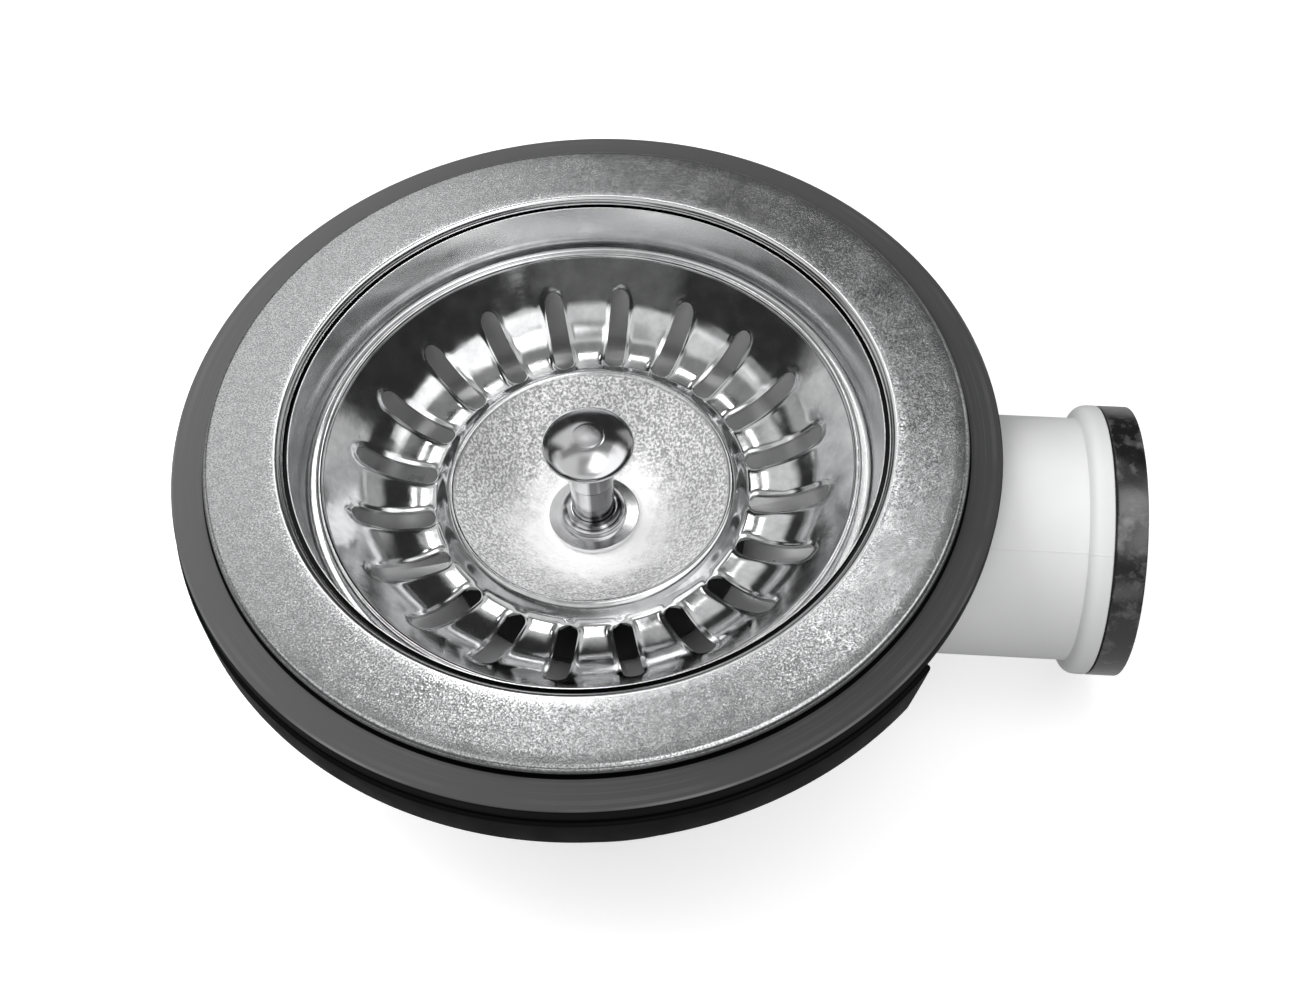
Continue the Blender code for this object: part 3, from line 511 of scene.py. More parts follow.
class Nodes(Tree):
    """A short way to build one material's nodes."""

    def __init__(self, name, colour=(1, 1, 1, 1), metallic=0.0):
        self.material = bpy.data.materials.new(name)
        self.material.use_nodes = True
        super().__init__(self.material.node_tree)
        self.shade("Base Color", colour)
        self.shade("Metallic", metallic)
        self.place = self.node("ShaderNodeTexCoord").outputs["Object"]
        self.axes = self.node("ShaderNodeSeparateXYZ", {0: self.place}).outputs
        self.normal = None

    def shade(self, socket, value):
        self.put(self.tree.nodes["Principled BSDF"].inputs[socket], value)

    def noise(self, scale, detail=2.0, place=None, roughness=0.5, output="Fac"):
        inputs = {"Vector": place or self.place, "Scale": scale, "Detail": detail, "Roughness": roughness}
        return self.node("ShaderNodeTexNoise", inputs).outputs[output]

    def mottle(self, scale, detail, low, high, **kind):
        """Noise that runs between two values."""
        return self.remap(self.noise(scale, detail, **kind), *NOISE_RANGE, low, high)

    def between(self, mask, low, high):
        """The low value where the mask is 0 and the high one where it is 1."""
        return self.remap(mask, 0.0, 1.0, low, high)

    def blend(self, factor, first, second):
        inputs = {"Factor": factor, "A": first, "B": second}
        return self.node("ShaderNodeMix", inputs, data_type="RGBA").outputs["Result"]

    def radius(self, shift=0.0):
        """Distance from the drain's axis, or from a line a little in front of it."""
        x, y = self.axes["X"], self.plus(self.axes["Y"], shift)
        return self.maths("SQRT", self.plus(self.times(x, x), self.times(y, y)))

    def around(self):
        """Coordinates that stay the same round the drain's axis: radius and height."""
        return self.node("ShaderNodeCombineXYZ", {"X": self.radius(), "Z": self.axes["Z"]}).outputs[0]

    def lean(self, normal):
        self.normal = normal
        self.shade("Normal", normal)

    def bump(self, height, distance, strength=1.0):
        """Add a layer of bump on top of those so far."""
        inputs = {"Strength": strength, "Distance": distance, "Height": height}
        if self.normal:
            inputs["Normal"] = self.normal
        self.lean(self.node("ShaderNodeBump", inputs).outputs["Normal"])

    def glitter(self, scale, tilt, mask):
        """Tilt the surface at random in small soft spots, before any bump is added."""
        spots = self.noise(scale, 1.5, output="Color")
        centred = self.vectors("SUBTRACT", {0: spots, 1: (0.5, 0.5, 0.5)})
        leaning = self.vectors("SCALE", {0: centred, "Scale": self.times(mask, tilt)})
        facing = self.node("ShaderNodeNewGeometry").outputs["Normal"]
        self.lean(self.vectors("ADD", {0: leaning, 1: facing}))


def tone(value, blue=0.0):
    """A grey that may lean to blue."""
    return value, value + blue / 2, value + blue, 1


def grained_steel():
    """Flange with a fine glittering grain, a smooth throat with painted shade in its groove, and a satin
    bowl.
    """
    m = Nodes("grained_steel")
    radius, depth = m.radius(), m.maths("SUBTRACT", TOP, m.axes["Z"])
    grain_start = FLANGE_INNER_RADIUS + LIP_ROUND
    flat = m.remap(radius, grain_start, grain_start + SMALL_ROUND)
    bowl = m.remap(depth, SEAT_DEPTH, SEAT_DEPTH + SMALL_ROUND)
    # Painted shade: below the ledge the groove is coloured near-black
    groove_edge = GROOVE_RADIUS - GROOVE_HALF
    painted_groove_shade = m.times(m.remap(depth, LEDGE_DROP + SMALL_ROUND / 4, LEDGE_DROP + SMALL_ROUND),
                     m.remap(radius, groove_edge - GAP / 10, groove_edge))
    m.glitter(3800, 0.15, flat)
    m.bump(m.noise(1200, 3.0, place=m.around()), 0.000005, 0.7)
    m.shade("Roughness", m.plus(m.mottle(160, 4.0, 0.15, 0.25), m.between(bowl, 0.0, 0.12)))
    m.shade("Metallic", m.maths("SUBTRACT", m.between(bowl, 1.0, 0.6), m.between(flat, 0.0, 0.08)))
    grain = m.blend(m.remap(m.noise(3800, 3.0), 0.38, 0.62), tone(0.42, COOL), tone(0.78, COOL))
    grain = m.blend(m.remap(m.noise(1100, 3.0), 0.52, 0.66, 0.0, 0.3), grain, tone(0.86, COOL))
    grain = m.blend(m.remap(m.noise(650, 3.0), 0.48, 0.34, 0.0, 0.28), grain, tone(0.40, COOL))
    smooth = m.blend(bowl, tone(0.94, COOL), tone(0.95))
    m.shade("Base Color", m.blend(painted_groove_shade, m.blend(flat, smooth, grain), tone(0.02)))
    return m.material


def polished_steel():
    """Basket: mirror-polished press work with faint waves, and a grained dish that is painted white and less
    metallic round its stem as a painted highlight.
    """
    m = Nodes("polished_steel")
    inside = m.remap(m.radius(), RIDGE_RADIUS - SMALL_ROUND / 2, RIDGE_RADIUS - 3 * SMALL_ROUND)
    # Painted highlight: the dish turns white and less metallic in a ragged patch round the stem, shifted to
    # the front
    ragged = m.mottle(420, 3.0, -DISH_HIGHLIGHT_RAGGED, DISH_HIGHLIGHT_RAGGED)
    painted_highlight = m.remap(m.plus(m.radius(DISH_HIGHLIGHT_SHIFT), ragged), DISH_HIGHLIGHT_RADIUS, DISH_HIGHLIGHT_CORE)
    m.glitter(2000, 0.5, inside)
    m.bump(m.noise(170, 3.0), 0.00007, 0.5)
    m.bump(m.noise(900, 3.0, place=m.around()), 0.000005, 0.7)
    pressed = m.mottle(240, 4.0, 0.07, 0.17, roughness=0.6)
    m.shade("Roughness", m.plus(pressed, m.between(inside, 0.0, 0.16)))
    m.shade("Metallic", m.maths("SUBTRACT", m.between(inside, 1.0, 0.40), m.between(painted_highlight, 0.0, 0.40)))
    speck = m.blend(m.remap(m.noise(2300, 3.0, roughness=0.7), 0.46, 0.56), (0.40, 0.40, 0.405, 1), tone(1.0))
    cloud = m.remap(m.noise(300, 4.0, roughness=0.6), 0.35, 0.65)
    cloud = m.blend(cloud, tone(0.68, COOL), tone(0.85, COOL))
    m.shade("Base Color", m.blend(inside, cloud, m.blend(painted_highlight, speck, tone(1.0))))
    return m.material


def chrome():
    """Knob, stem and collar: turned and polished, with painted dark and light reflection streaks down the
    stem and a satin mark on top.
    """
    m = Nodes("turned_chrome", metallic=1.0)
    knob_foot = TOP - SLEEVE_TOP
    stem = m.times(m.remap(m.axes["Z"], knob_foot, knob_foot - SMALL_ROUND),
                   m.remap(m.radius(), COLLAR_HUB_RADIUS, COLLAR_HUB_RADIUS - SMALL_ROUND))
    m.bump(m.noise(1800, 2.0, place=m.around()), 0.000008, 0.8)
    # Painted reflection: random dark and light streaks run down the stem's colour
    lengthwise = m.node("ShaderNodeMapping", {"Vector": m.place, "Scale": (1, 1, 0.03)}).outputs[0]
    streak = m.times(stem, m.remap(m.noise(420, 1.0, place=lengthwise), 0.42, 0.58))
    m.shade("Base Color", m.blend(streak, (0.74, 0.74, 0.75, 1), (0.16, 0.16, 0.165, 1)))
    mark = m.times(m.remap(m.radius(), KNOB_MARK_RADIUS, KNOB_MARK_RADIUS - KNOB_MARK_WIDTH),
                   m.remap(m.axes["Z"], knob_foot, knob_foot + SMALL_ROUND, 0.0, 0.16))
    m.shade("Roughness", m.plus(mark, m.mottle(500, 3.0, 0.10, 0.19)))
    return m.material


def gasket_rubber():
    """Black rubber with a scuffed grey upper face: streaked, with a painted highlight along its edge and
    painted light that makes it paler to the left.
    """
    m = Nodes("gasket_rubber")
    streak = m.noise(700, 4.0, place=m.around(), roughness=0.7)
    patches = m.noise(60, 3.0)
    wear = m.times(m.remap(streak, 0.5, 0.75), m.remap(patches, 0.45, 0.7))
    # Painted light: the upper face is paler towards the left
    painted_left_light = m.maths("SUBTRACT", m.times(m.axes["Y"], 0.35), m.axes["X"])
    face = m.blend(m.remap(painted_left_light, -GASKET_RADIUS, GASKET_RADIUS), (0.050, 0.050, 0.051, 1), tone(0.098))
    face = m.blend(wear, face, tone(0.18))
    # Painted highlight: a paler line along the upper face's outer edge
    painted_edge_highlight = m.remap(m.radius(), GASKET_RADIUS - GASKET_ROUND, GASKET_RADIUS - GASKET_ROUND / 2)
    painted_edge_highlight = m.times(painted_edge_highlight, m.remap(m.noise(45, 2.0), 0.4, 0.6))
    face = m.blend(painted_edge_highlight, face, tone(0.16))
    face_height = TOP - GASKET_TOP
    upper = m.remap(m.axes["Z"], face_height - GASKET_ROUND / 2, face_height - GASKET_ROUND / 4)
    m.shade("Base Color", m.blend(upper, tone(0.003), face))
    m.shade("Roughness", m.remap(patches, *NOISE_RANGE, 0.42, 0.60))
    m.shade("Specular IOR Level", BLACK_SHEEN)
    m.bump(m.noise(2600, 3.0), 0.00002, 0.5)
    m.bump(streak, 0.00002, 0.4)
    return m.material


def end_rubber():
    """Seal at the pipe's end: satin black with a mottled bloom whose pale patches are brightened as a painted
    sheen.
    """
    m = Nodes("end_rubber")
    m.shade("Specular IOR Level", 1.0)
    m.shade("Coat Weight", 1.0)
    m.shade("Coat Roughness", 0.2)
    # Mottled bloom, its pale patches brightened to serve as a painted sheen
    bloom_and_sheen = m.noise(260, 5.0, roughness=0.7)
    m.shade("Base Color", m.blend(m.remap(bloom_and_sheen, 0.5, 0.72), tone(0.009), tone(0.15)))
    m.shade("Roughness", m.remap(bloom_and_sheen, *NOISE_RANGE, 0.12, 0.42))
    m.bump(m.noise(240, 4.0), 0.00008, 0.5)
    m.bump(m.noise(1400, 3.0), 0.00002, 0.5)
    return m.material


def black_plastic():
    """Housing: black plastic, its skirt near-black as painted shade and the pot below it lighter, with a tone
    that differs at random.
    """
    m = Nodes("housing_plastic")
    m.shade("Specular IOR Level", BLACK_SHEEN)
    # Painted shade: the skirt is near-black, while the pot below it is lighter
    skirt_foot = TOP - HOUSING_TOP - SKIRT_HEIGHT
    pot = m.remap(m.axes["Z"], skirt_foot, skirt_foot - SMALL_ROUND)
    lighter_pot_tone = m.remap(m.noise(140, 3.0), 0.35, 0.65)
    lighter_pot_tone = m.blend(lighter_pot_tone, (0.017, 0.017, 0.0175, 1), (0.024, 0.024, 0.0245, 1))
    m.shade("Base Color", m.blend(pot, (0.003, 0.003, 0.0032, 1), lighter_pot_tone))
    m.shade("Roughness", m.mottle(220, 3.0, 0.36, 0.50))
    m.bump(m.noise(3000, 2.0), 0.000012, 0.6)
    return m.material


def white_plastic():
    """Outlet pipe: glossy white, with the mould's parting line as a faint ridge."""
    m = Nodes("pipe_plastic")
    cloud = m.remap(m.noise(60, 3.0), *NOISE_RANGE)
    m.shade("Base Color", m.blend(cloud, (0.695, 0.70, 0.698, 1), (0.735, 0.74, 0.738, 1)))
    m.shade("Roughness", m.mottle(150, 3.0, 0.30, 0.42))
    m.bump(m.noise(700, 2.0), 0.000012, 0.5)
    parting = math.radians(PARTING_DEG)
    across = m.vectors("DOT_PRODUCT", {0: m.place, 1: (0, -math.cos(parting), -math.sin(parting))}, "Value")
    off = m.plus(across, (TOP - OUTLET_DEPTH) * math.sin(parting))
    m.bump(m.remap(m.maths("ABSOLUTE", off), SMALL_ROUND, 0.0), SMALL_ROUND / 4)
    return m.material


def plain(name, colour, gloss_scale, gloss, grain, metal=False):
    """A plain finish with a mottled gloss and a fine grain, which runs round the axis on metal."""
    m = Nodes(name, colour, 1.0 if metal else 0.0)
    m.shade("Roughness", m.mottle(gloss_scale, 3.0, *gloss))
    scale, detail, depth = grain
    m.bump(m.noise(scale, detail, place=m.around() if metal else None), depth, 0.6 if metal else 0.5)
    return m.material


def dress(piece, material, node, body):
    """Give a piece its finish and let it stand for its CAD node."""
    piece.data.materials.clear()
    piece.data.materials.append(material)
    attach(piece, body)
    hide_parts(node)


def add_turned(name, outline, material, node, body, facets=SMALL, place=upright, edge=SMALL_ROUND):
    """A dressed piece turned from an outline with rounded corners."""
    dress(turned(name, rounded(outline, edge), facets, place), material, node, body)


# Pieces that stay clamped together

def strainer_bowl(material):
    """Flange with a rounded edge and lip, ledge with a fine groove, throat, seat and drilled bowl."""
    edge = (FLANGE_RADIUS - FLANGE_EDGE_ROUND, FLANGE_EDGE_ROUND)
    lip = (FLANGE_INNER_RADIUS + LIP_ROUND, LIP_ROUND)
    groove_outer = GROOVE_RADIUS + GROOVE_HALF
    groove_inner = GROOVE_RADIUS - GROOVE_HALF
    groove_floor = LEDGE_DROP + LEDGE_GROOVE_DEPTH
    throat_top = FLANGE_INNER_RADIUS - LEDGE_WIDTH
    bowl_floor = round_corner((SEAT_RADIUS - BOWL_TAPER, BOWL_DEPTH), (0, -BOWL_CORNER_ROUND),
                              (-BOWL_CORNER_ROUND, 0), steps=12)
    bowl_floor += [(CUP_RADIUS + GAP, BOWL_DEPTH)]
    face = [(FLANGE_RADIUS - BOWL_SHEET / 2, FLANGE_EDGE_DROP)]
    face += arc((FLANGE_RADIUS - SMALL_ROUND, FLANGE_EDGE_DROP - SMALL_ROUND), SMALL_ROUND, 90, 0, steps=3)
    face += arc(edge, FLANGE_EDGE_ROUND, 0, -90)
    face += straight(face[-1], (lip[0], 0), steps=6)
    face += arc(lip, LIP_ROUND, -90, -180)[1:]
    face += round_corner((FLANGE_INNER_RADIUS, LEDGE_DROP), (0, -SMALL_ROUND), (-SMALL_ROUND, 0), steps=4)
    face += [(groove_outer, LEDGE_DROP), (groove_outer, groove_floor), (groove_inner, groove_floor),
             (groove_inner, LEDGE_DROP)]
    face += round_corner((throat_top, LEDGE_DROP), (SMALL_ROUND / 2, 0), (0, SMALL_ROUND / 2), steps=4)
    face += straight(face[-1], (THROAT_RADIUS, SEAT_DEPTH - BOWL_SHEET), steps=4)
    face += round_corner((THROAT_RADIUS, SEAT_DEPTH), (0, -BOWL_SHEET), (-BOWL_SHEET, 0), steps=6)[1:]
    face += round_corner((SEAT_RADIUS, SEAT_DEPTH), (SMALL_ROUND, 0), (0, SMALL_ROUND), steps=4)
    face += bowl_floor
    plain_face = [(FLANGE_RADIUS, FLANGE_EDGE_DROP), (FLANGE_RADIUS, FLANGE_EDGE_ROUND)]
    plain_face += arc(edge, FLANGE_EDGE_ROUND, -20, -90, steps=4)
    plain_face += [(FLANGE_INNER_RADIUS, 0), (FLANGE_INNER_RADIUS, LEDGE_DROP), (throat_top, LEDGE_DROP),
                   (THROAT_RADIUS, SEAT_DEPTH), (SEAT_RADIUS, SEAT_DEPTH)]
    back = sheet_side(plain_face + bowl_floor, -BOWL_SHEET)
    bowl = turned("steel_bowl", face + back[::-1], LARGE)
    holes = bmesh.new()
    for index in range(DRAIN_HOLES):
        angle = 2 * math.pi * index / DRAIN_HOLES
        middle = Matrix.Translation(upright(DRAIN_HOLE_RING, BOWL_DEPTH + BOWL_SHEET / 2, angle))
        bmesh.ops.create_cone(holes, cap_ends=True, segments=MIDDLE // 4, radius1=DRAIN_HOLE_RADIUS,
                              radius2=DRAIN_HOLE_RADIUS, depth=BOWL_SHEET + 2 * OVERRUN, matrix=middle)
    combine(bowl, add_piece("holes", holes))
    dress(bowl, material, "strainer_bowl", "drain")


def gasket_and_seal(material, hidden_material):
    """The thick ring that shows beyond the flange, and the thin one under the flange."""
    step = FLANGE_RADIUS + GAP
    outline = [(step, GASKET_TOP), (GASKET_RADIUS, GASKET_TOP), (GASKET_RADIUS, GASKET_BOTTOM),
               (GASKET_BORE_RADIUS, GASKET_BOTTOM), (GASKET_BORE_RADIUS, GASKET_TOP + GASKET_STEP),
               (step, GASKET_TOP + GASKET_STEP)]
    add_turned("rubber_gasket", outline, material, "body_gasket", "drain", LARGE,
               edge=GASKET_ROUND)
    low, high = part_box("flange_seal")
    outline = ring_outline(GASKET_BORE_RADIUS + GAP, high[0], TOP - high[2], TOP - low[2])
    add_turned("thin_flange_seal", outline, hidden_material, "flange_seal", "drain", LARGE)


def skirt_opening():
    """Wedge that clears the housing's rim and skirt over the outlet, wider at its foot."""
    slope = (SKIRT_CUT_BOTTOM_DEG - SKIRT_CUT_TOP_DEG) / SKIRT_HEIGHT
    levels = ((HOUSING_TOP - OVERRUN, SKIRT_CUT_TOP_DEG - slope * OVERRUN),
              (HOUSING_TOP + SKIRT_HEIGHT + OVERRUN, SKIRT_CUT_BOTTOM_DEG + slope * OVERRUN))
    outer = SKIRT_RADIUS + OVERRUN
    steps = MIDDLE // 4
    solid = bmesh.new()
    rows = []
    for step in range(steps + 1):
        turn = 2 * step / steps - 1
        row = []
        for (depth, half_deg), radii in zip(levels, ((FLANGE_RADIUS, outer), (outer, FLANGE_RADIUS))):
            angle = math.radians(half_deg) * turn
            row += [solid.verts.new(upright(radius, depth, angle)) for radius in radii]
        rows.append(row)
    for row, following in zip(rows, rows[1:]):
        for side in range(4):
            solid.faces.new((row[side - 1], row[side], following[side], following[side - 1]))
    solid.faces.new(rows[0])
    solid.faces.new(rows[-1])
    return add_piece("skirt_opening", solid)


def outlet_socket():
    """Socket round the pipe, flattened where it joins the rim plate above it."""
    radius = SOCKET_BORE_RADIUS + SOCKET_WALL
    roof = OUTLET_DEPTH - HOUSING_TOP - PLATE_WALL / 2
    outline = []
    for step in range(MIDDLE):
        angle = 2 * math.pi * step / MIDDLE
        outline.append((radius * math.sin(angle), min(radius * math.cos(angle), roof)))
    solid = bmesh.new()
    prism(solid, outline, POT_RADIUS - SOCKET_WALL, POT_RADIUS + HOUSING_WALL + SOCKET_LENGTH)
    turn = Matrix(((0, 0, 1, 0), (1, 0, 0, 0), (0, 1, 0, TOP - OUTLET_DEPTH), (0, 0, 0, 1)))
    bmesh.ops.transform(solid, matrix=turn, verts=solid.verts[:])
    return add_piece("outlet_socket", solid)


def waste_housing(material):
    """Rim plate and skirt, tapered pot with a ledge at its foot for the floor, and outlet socket."""
    pot_outer = POT_RADIUS + HOUSING_WALL
    plate_under = HOUSING_TOP + PLATE_WALL
    skirt_inner = SKIRT_RADIUS - SKIRT_WALL
    skirt_bottom = HOUSING_TOP + SKIRT_HEIGHT
    outline = [(0, HOUSING_TOP), (SKIRT_RADIUS, HOUSING_TOP), (SKIRT_RADIUS, skirt_bottom),
               (skirt_inner, skirt_bottom), (skirt_inner, plate_under), (pot_outer, plate_under)]
    foot = POT_FOOT_RADIUS + HOUSING_WALL
    outline += round_corner((foot, BASE_DEPTH), (0, -POT_CORNER_ROUND), (-POT_CORNER_ROUND, 0), steps=12)
    outline += [(0, BASE_DEPTH)]
    housing = turned("plastic_housing", rounded(outline, GASKET_ROUND), LARGE)
    combine(housing, outlet_socket(), "UNION")
    seat = BASE_DEPTH - FLOOR_SEAT_HEIGHT
    ledge = POT_FOOT_RADIUS - FLOOR_SEAT_WIDTH
    cavity = [(0, HOUSING_TOP - OVERRUN), (POT_RADIUS, HOUSING_TOP - OVERRUN), (POT_FOOT_RADIUS, seat),
              (ledge, seat), (ledge, BASE_DEPTH + OVERRUN), (0, BASE_DEPTH + OVERRUN)]
    combine(housing, turned("cavity", cavity, LARGE))
    inside = POT_RADIUS - SOCKET_BORE_RADIUS / 3
    bore = [(0, inside), (SOCKET_BORE_RADIUS, inside), (SOCKET_BORE_RADIUS, GASKET_RADIUS),
            (0, GASKET_RADIUS)]
    combine(housing, turned("socket_bore", bore, MIDDLE, along_outlet))
    combine(housing, skirt_opening())
    housing.data.set_sharp_from_angle(angle=math.radians(SHARP_DEG))
    dress(housing, material, "waste_housing", "drain")


def housing_floor(material):
    """Floor disc that sits on the ledge in the housing's foot, with the pillar for the insert."""
    edge = POT_FOOT_RADIUS - GAP
    plug = edge - FLOOR_SEAT_WIDTH
    seat = BASE_DEPTH - FLOOR_SEAT_HEIGHT - GAP
    hole_bottom = INSERT_BOTTOM + GAP
    outline = [(edge, CHAMBER_FLOOR), (edge, seat), (plug, seat), (plug, BASE_DEPTH), (0, BASE_DEPTH),
               (0, hole_bottom), (INSERT_HOLE_RADIUS, hole_bottom), (INSERT_HOLE_RADIUS, PILLAR_TOP),
               (PILLAR_RADIUS, PILLAR_TOP), (PILLAR_RADIUS, CHAMBER_FLOOR)]
    add_turned("floor_disc", outline, material, "housing_floor", "drain", MIDDLE)


def outlet_pieces(pipe_material, seal_material, hidden_material):
    """White pipe with its end bead, the rubber ring in its groove, and the black end seal."""
    start = THROAT_RADIUS + BOWL_SHEET + PIPE_THROAT_GAP
    seal_start = OUTLET_REACH - END_SEAL_LENGTH
    bead_end = seal_start - GAP
    bead_start = bead_end - BEAD_LENGTH
    nose_end = OUTLET_REACH - END_SEAL_LIP - GAP
    outline = [(PIPE_BORE_RADIUS, start), (PIPE_RADIUS, start)]
    outline += bend((PIPE_RADIUS, bead_start - BEAD_SHOULDER), (BEAD_RADIUS, bead_start - BEAD_SHOULDER),
                    (BEAD_RADIUS, bead_start), steps=12)
    outline += [(BEAD_RADIUS, bead_end), (NOSE_RADIUS, bead_end), (NOSE_RADIUS, nose_end),
                (PIPE_BORE_RADIUS, nose_end)]
    add_turned("white_pipe", outline, pipe_material, "outlet_pipe", "drain", LARGE,
               along_outlet)

    low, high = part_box("outlet_o_ring")
    section = (high[0] - low[0]) / 2
    outline = arc((high[1] - section, (low[0] + high[0]) / 2), section, 0, 360, steps=12)[:-1]
    o_ring = turned("pipe_o_ring", outline, MIDDLE, along_outlet)
    dress(o_ring, hidden_material, "outlet_o_ring", "drain")

    recess = NOSE_RADIUS + GAP
    lip_start = OUTLET_REACH - END_SEAL_LIP
    outline = [(BEAD_RADIUS, seal_start), (BEAD_RADIUS, OUTLET_REACH), (PIPE_BORE_RADIUS, OUTLET_REACH),
               (PIPE_BORE_RADIUS, lip_start), (recess, lip_start), (recess, seal_start)]
    add_turned("end_seal", outline, seal_material, "outlet_seal", "drain", LARGE,
               along_outlet)


def clamp_pieces(steel, rubber, insert_material, cup_steel):
    """Hollow-headed screw, the cup that holds its head in the bowl, its washers and brass insert."""
    cup_foot = BOWL_DEPTH - GAP
    cup_top = cup_foot - CUP_FLANGE_THICKNESS
    cup_bottom = WELL_DEPTH + CUP_WALL
    outline = [(CUP_FLANGE_RADIUS, cup_top), (CUP_FLANGE_RADIUS, cup_foot), (CUP_RADIUS, cup_foot),
               (CUP_RADIUS, cup_bottom), (SCREW_HOLE_RADIUS, cup_bottom), (SCREW_HOLE_RADIUS, WELL_DEPTH),
               (WELL_RADIUS, WELL_DEPTH), (WELL_RADIUS, cup_top)]
    add_turned("pressed_cup", outline, cup_steel, "screw_cup", "drain")
    outline = [(HEAD_BORE_RADIUS, PLUG_TOP), (HEAD_RADIUS, PLUG_TOP), (HEAD_RADIUS, HEAD_BOTTOM),
               (SCREW_RADIUS, HEAD_BOTTOM), (SCREW_RADIUS, INSERT_BOTTOM), (0, INSERT_BOTTOM),
               (0, HEAD_BORE_BOTTOM), (HEAD_BORE_RADIUS, HEAD_BORE_BOTTOM)]
    screw = turned("hollow_screw", rounded(outline, SMALL_ROUND))
    half = HEAD_SLOT_WIDTH / 2
    reach = HEAD_RADIUS + OVERRUN
    slot = bmesh.new()
    prism(slot, [(-reach, -half), (reach, -half), (reach, half), (-reach, half)],
          TOP - PLUG_TOP - HEAD_SLOT_DEPTH, TOP - PLUG_TOP + OVERRUN)
    combine(screw, add_piece("screw_slot", slot))
    dress(screw, steel, "clamp_screw", "drain")
    outline = ring_outline(SCREW_HOLE_RADIUS, HEAD_RADIUS, WASHER_TOP, WASHER_TOP + WASHER_THICKNESS)
    add_turned("steel_washer", outline, steel, "clamp_washer", "drain")
    outline = ring_outline(SCREW_HOLE_RADIUS, HEAD_RADIUS - GAP, SEAL_WASHER_TOP,
                           SEAL_WASHER_TOP + SEAL_WASHER_THICKNESS)
    add_turned("rubber_washer", outline, rubber, "screw_seal_washer", "drain")
    outline = ring_outline(SCREW_HOLE_RADIUS, INSERT_RADIUS, INSERT_TOP, INSERT_BOTTOM)
    add_turned("threaded_insert", outline, insert_material, "brass_insert", "drain")


def grip_bush(material):
    """Nylon bush in the screw's hollow head."""
    flange_bottom = PLUG_TOP - GAP
    flange_top = flange_bottom - BUSH_FLANGE_THICKNESS
    outline = [(BUSH_BORE_RADIUS, flange_top), (HEAD_RADIUS, flange_top), (HEAD_RADIUS, flange_bottom),
               (BUSH_RADIUS, flange_bottom), (BUSH_RADIUS, PLUG_BOTTOM), (BUSH_BORE_RADIUS, PLUG_BOTTOM)]
    add_turned("nylon_bush", outline, material, "grip_bush", "grip")


# The basket and what lifts with it

def basket_path():
    """Points (radius, depth) down the basket's inner face, from the bead to the stem's hole."""
    wall_top = (RIM_RADIUS - RIM_BEAD - RIM_BEAD * math.sqrt(0.5), RIM_DEPTH + RIM_BEAD)
    lead = (CREASE_DEPTH - wall_top[1]) / (wall_top[0] - CREASE_RADIUS)
    below_crease = (CREASE_RADIUS - (TROUGH_DEPTH - CREASE_DEPTH) / lead, TROUGH_DEPTH)
    ridge = (RIDGE_RADIUS, RIDGE_DEPTH)
    dish_bend = (RIDGE_RADIUS + (DISH_FLAT_RADIUS - RIDGE_RADIUS) * (1 - DISH_FULLNESS_SHARE / 2),
                 RIDGE_DEPTH + DISH_DROP * DISH_FULLNESS_SHARE)
    path = [wall_top] + straight(wall_top, (CREASE_RADIUS, CREASE_DEPTH), steps=4)
    path += bend((CREASE_RADIUS, CREASE_DEPTH), below_crease, (TROUGH_RADIUS, TROUGH_DEPTH))[1:]
    path += ease((RIDGE_RADIUS + RIDGE_FLANK, TROUGH_DEPTH), ridge)
    path += bend(ridge, dish_bend, (DISH_FLAT_RADIUS, DISH_DEPTH))[1:]
    path += [(THREAD_HOLE_RADIUS, DISH_DEPTH)]
    return path


def depth_at(path, radius):
    """Depth of a path whose radius only falls, at a radius."""
    for outer, inner in zip(path, path[1:]):
        if outer[0] >= radius >= inner[0]:
            share = (outer[0] - radius) / (outer[0] - inner[0])
            return outer[1] + (inner[1] - outer[1]) * share
    return path[-1][1] if radius < path[-1][0] else path[0][1]


def basket_stations(path, slot_outer, slot_inner):
    """Radii of the mesh's rings, close together over the slots' round ends and the curves."""
    half = SLOT_WIDTH / 2
    ends = [half * (1 - math.cos(math.pi / 2 * row / END_ROWS)) for row in range(END_ROWS + 1)]
    stations = [path[0][0]] + spaced(path[0][0], slot_outer, RIM_ROWS)[:-1]
    stations += [slot_outer - end for end in ends]
    stations += spaced(slot_outer - half, slot_inner + half, SLOT_ROWS)[:-1]
    stations += [slot_inner + end for end in reversed(ends)]
    stations += spaced(slot_inner, RIDGE_RADIUS, RIDGE_ROWS)
    stations += spaced(RIDGE_RADIUS, DISH_FLAT_RADIUS, DISH_ROWS)
    stations += spaced(DISH_FLAT_RADIUS, THREAD_HOLE_RADIUS, HOLE_ROWS)
    return stations


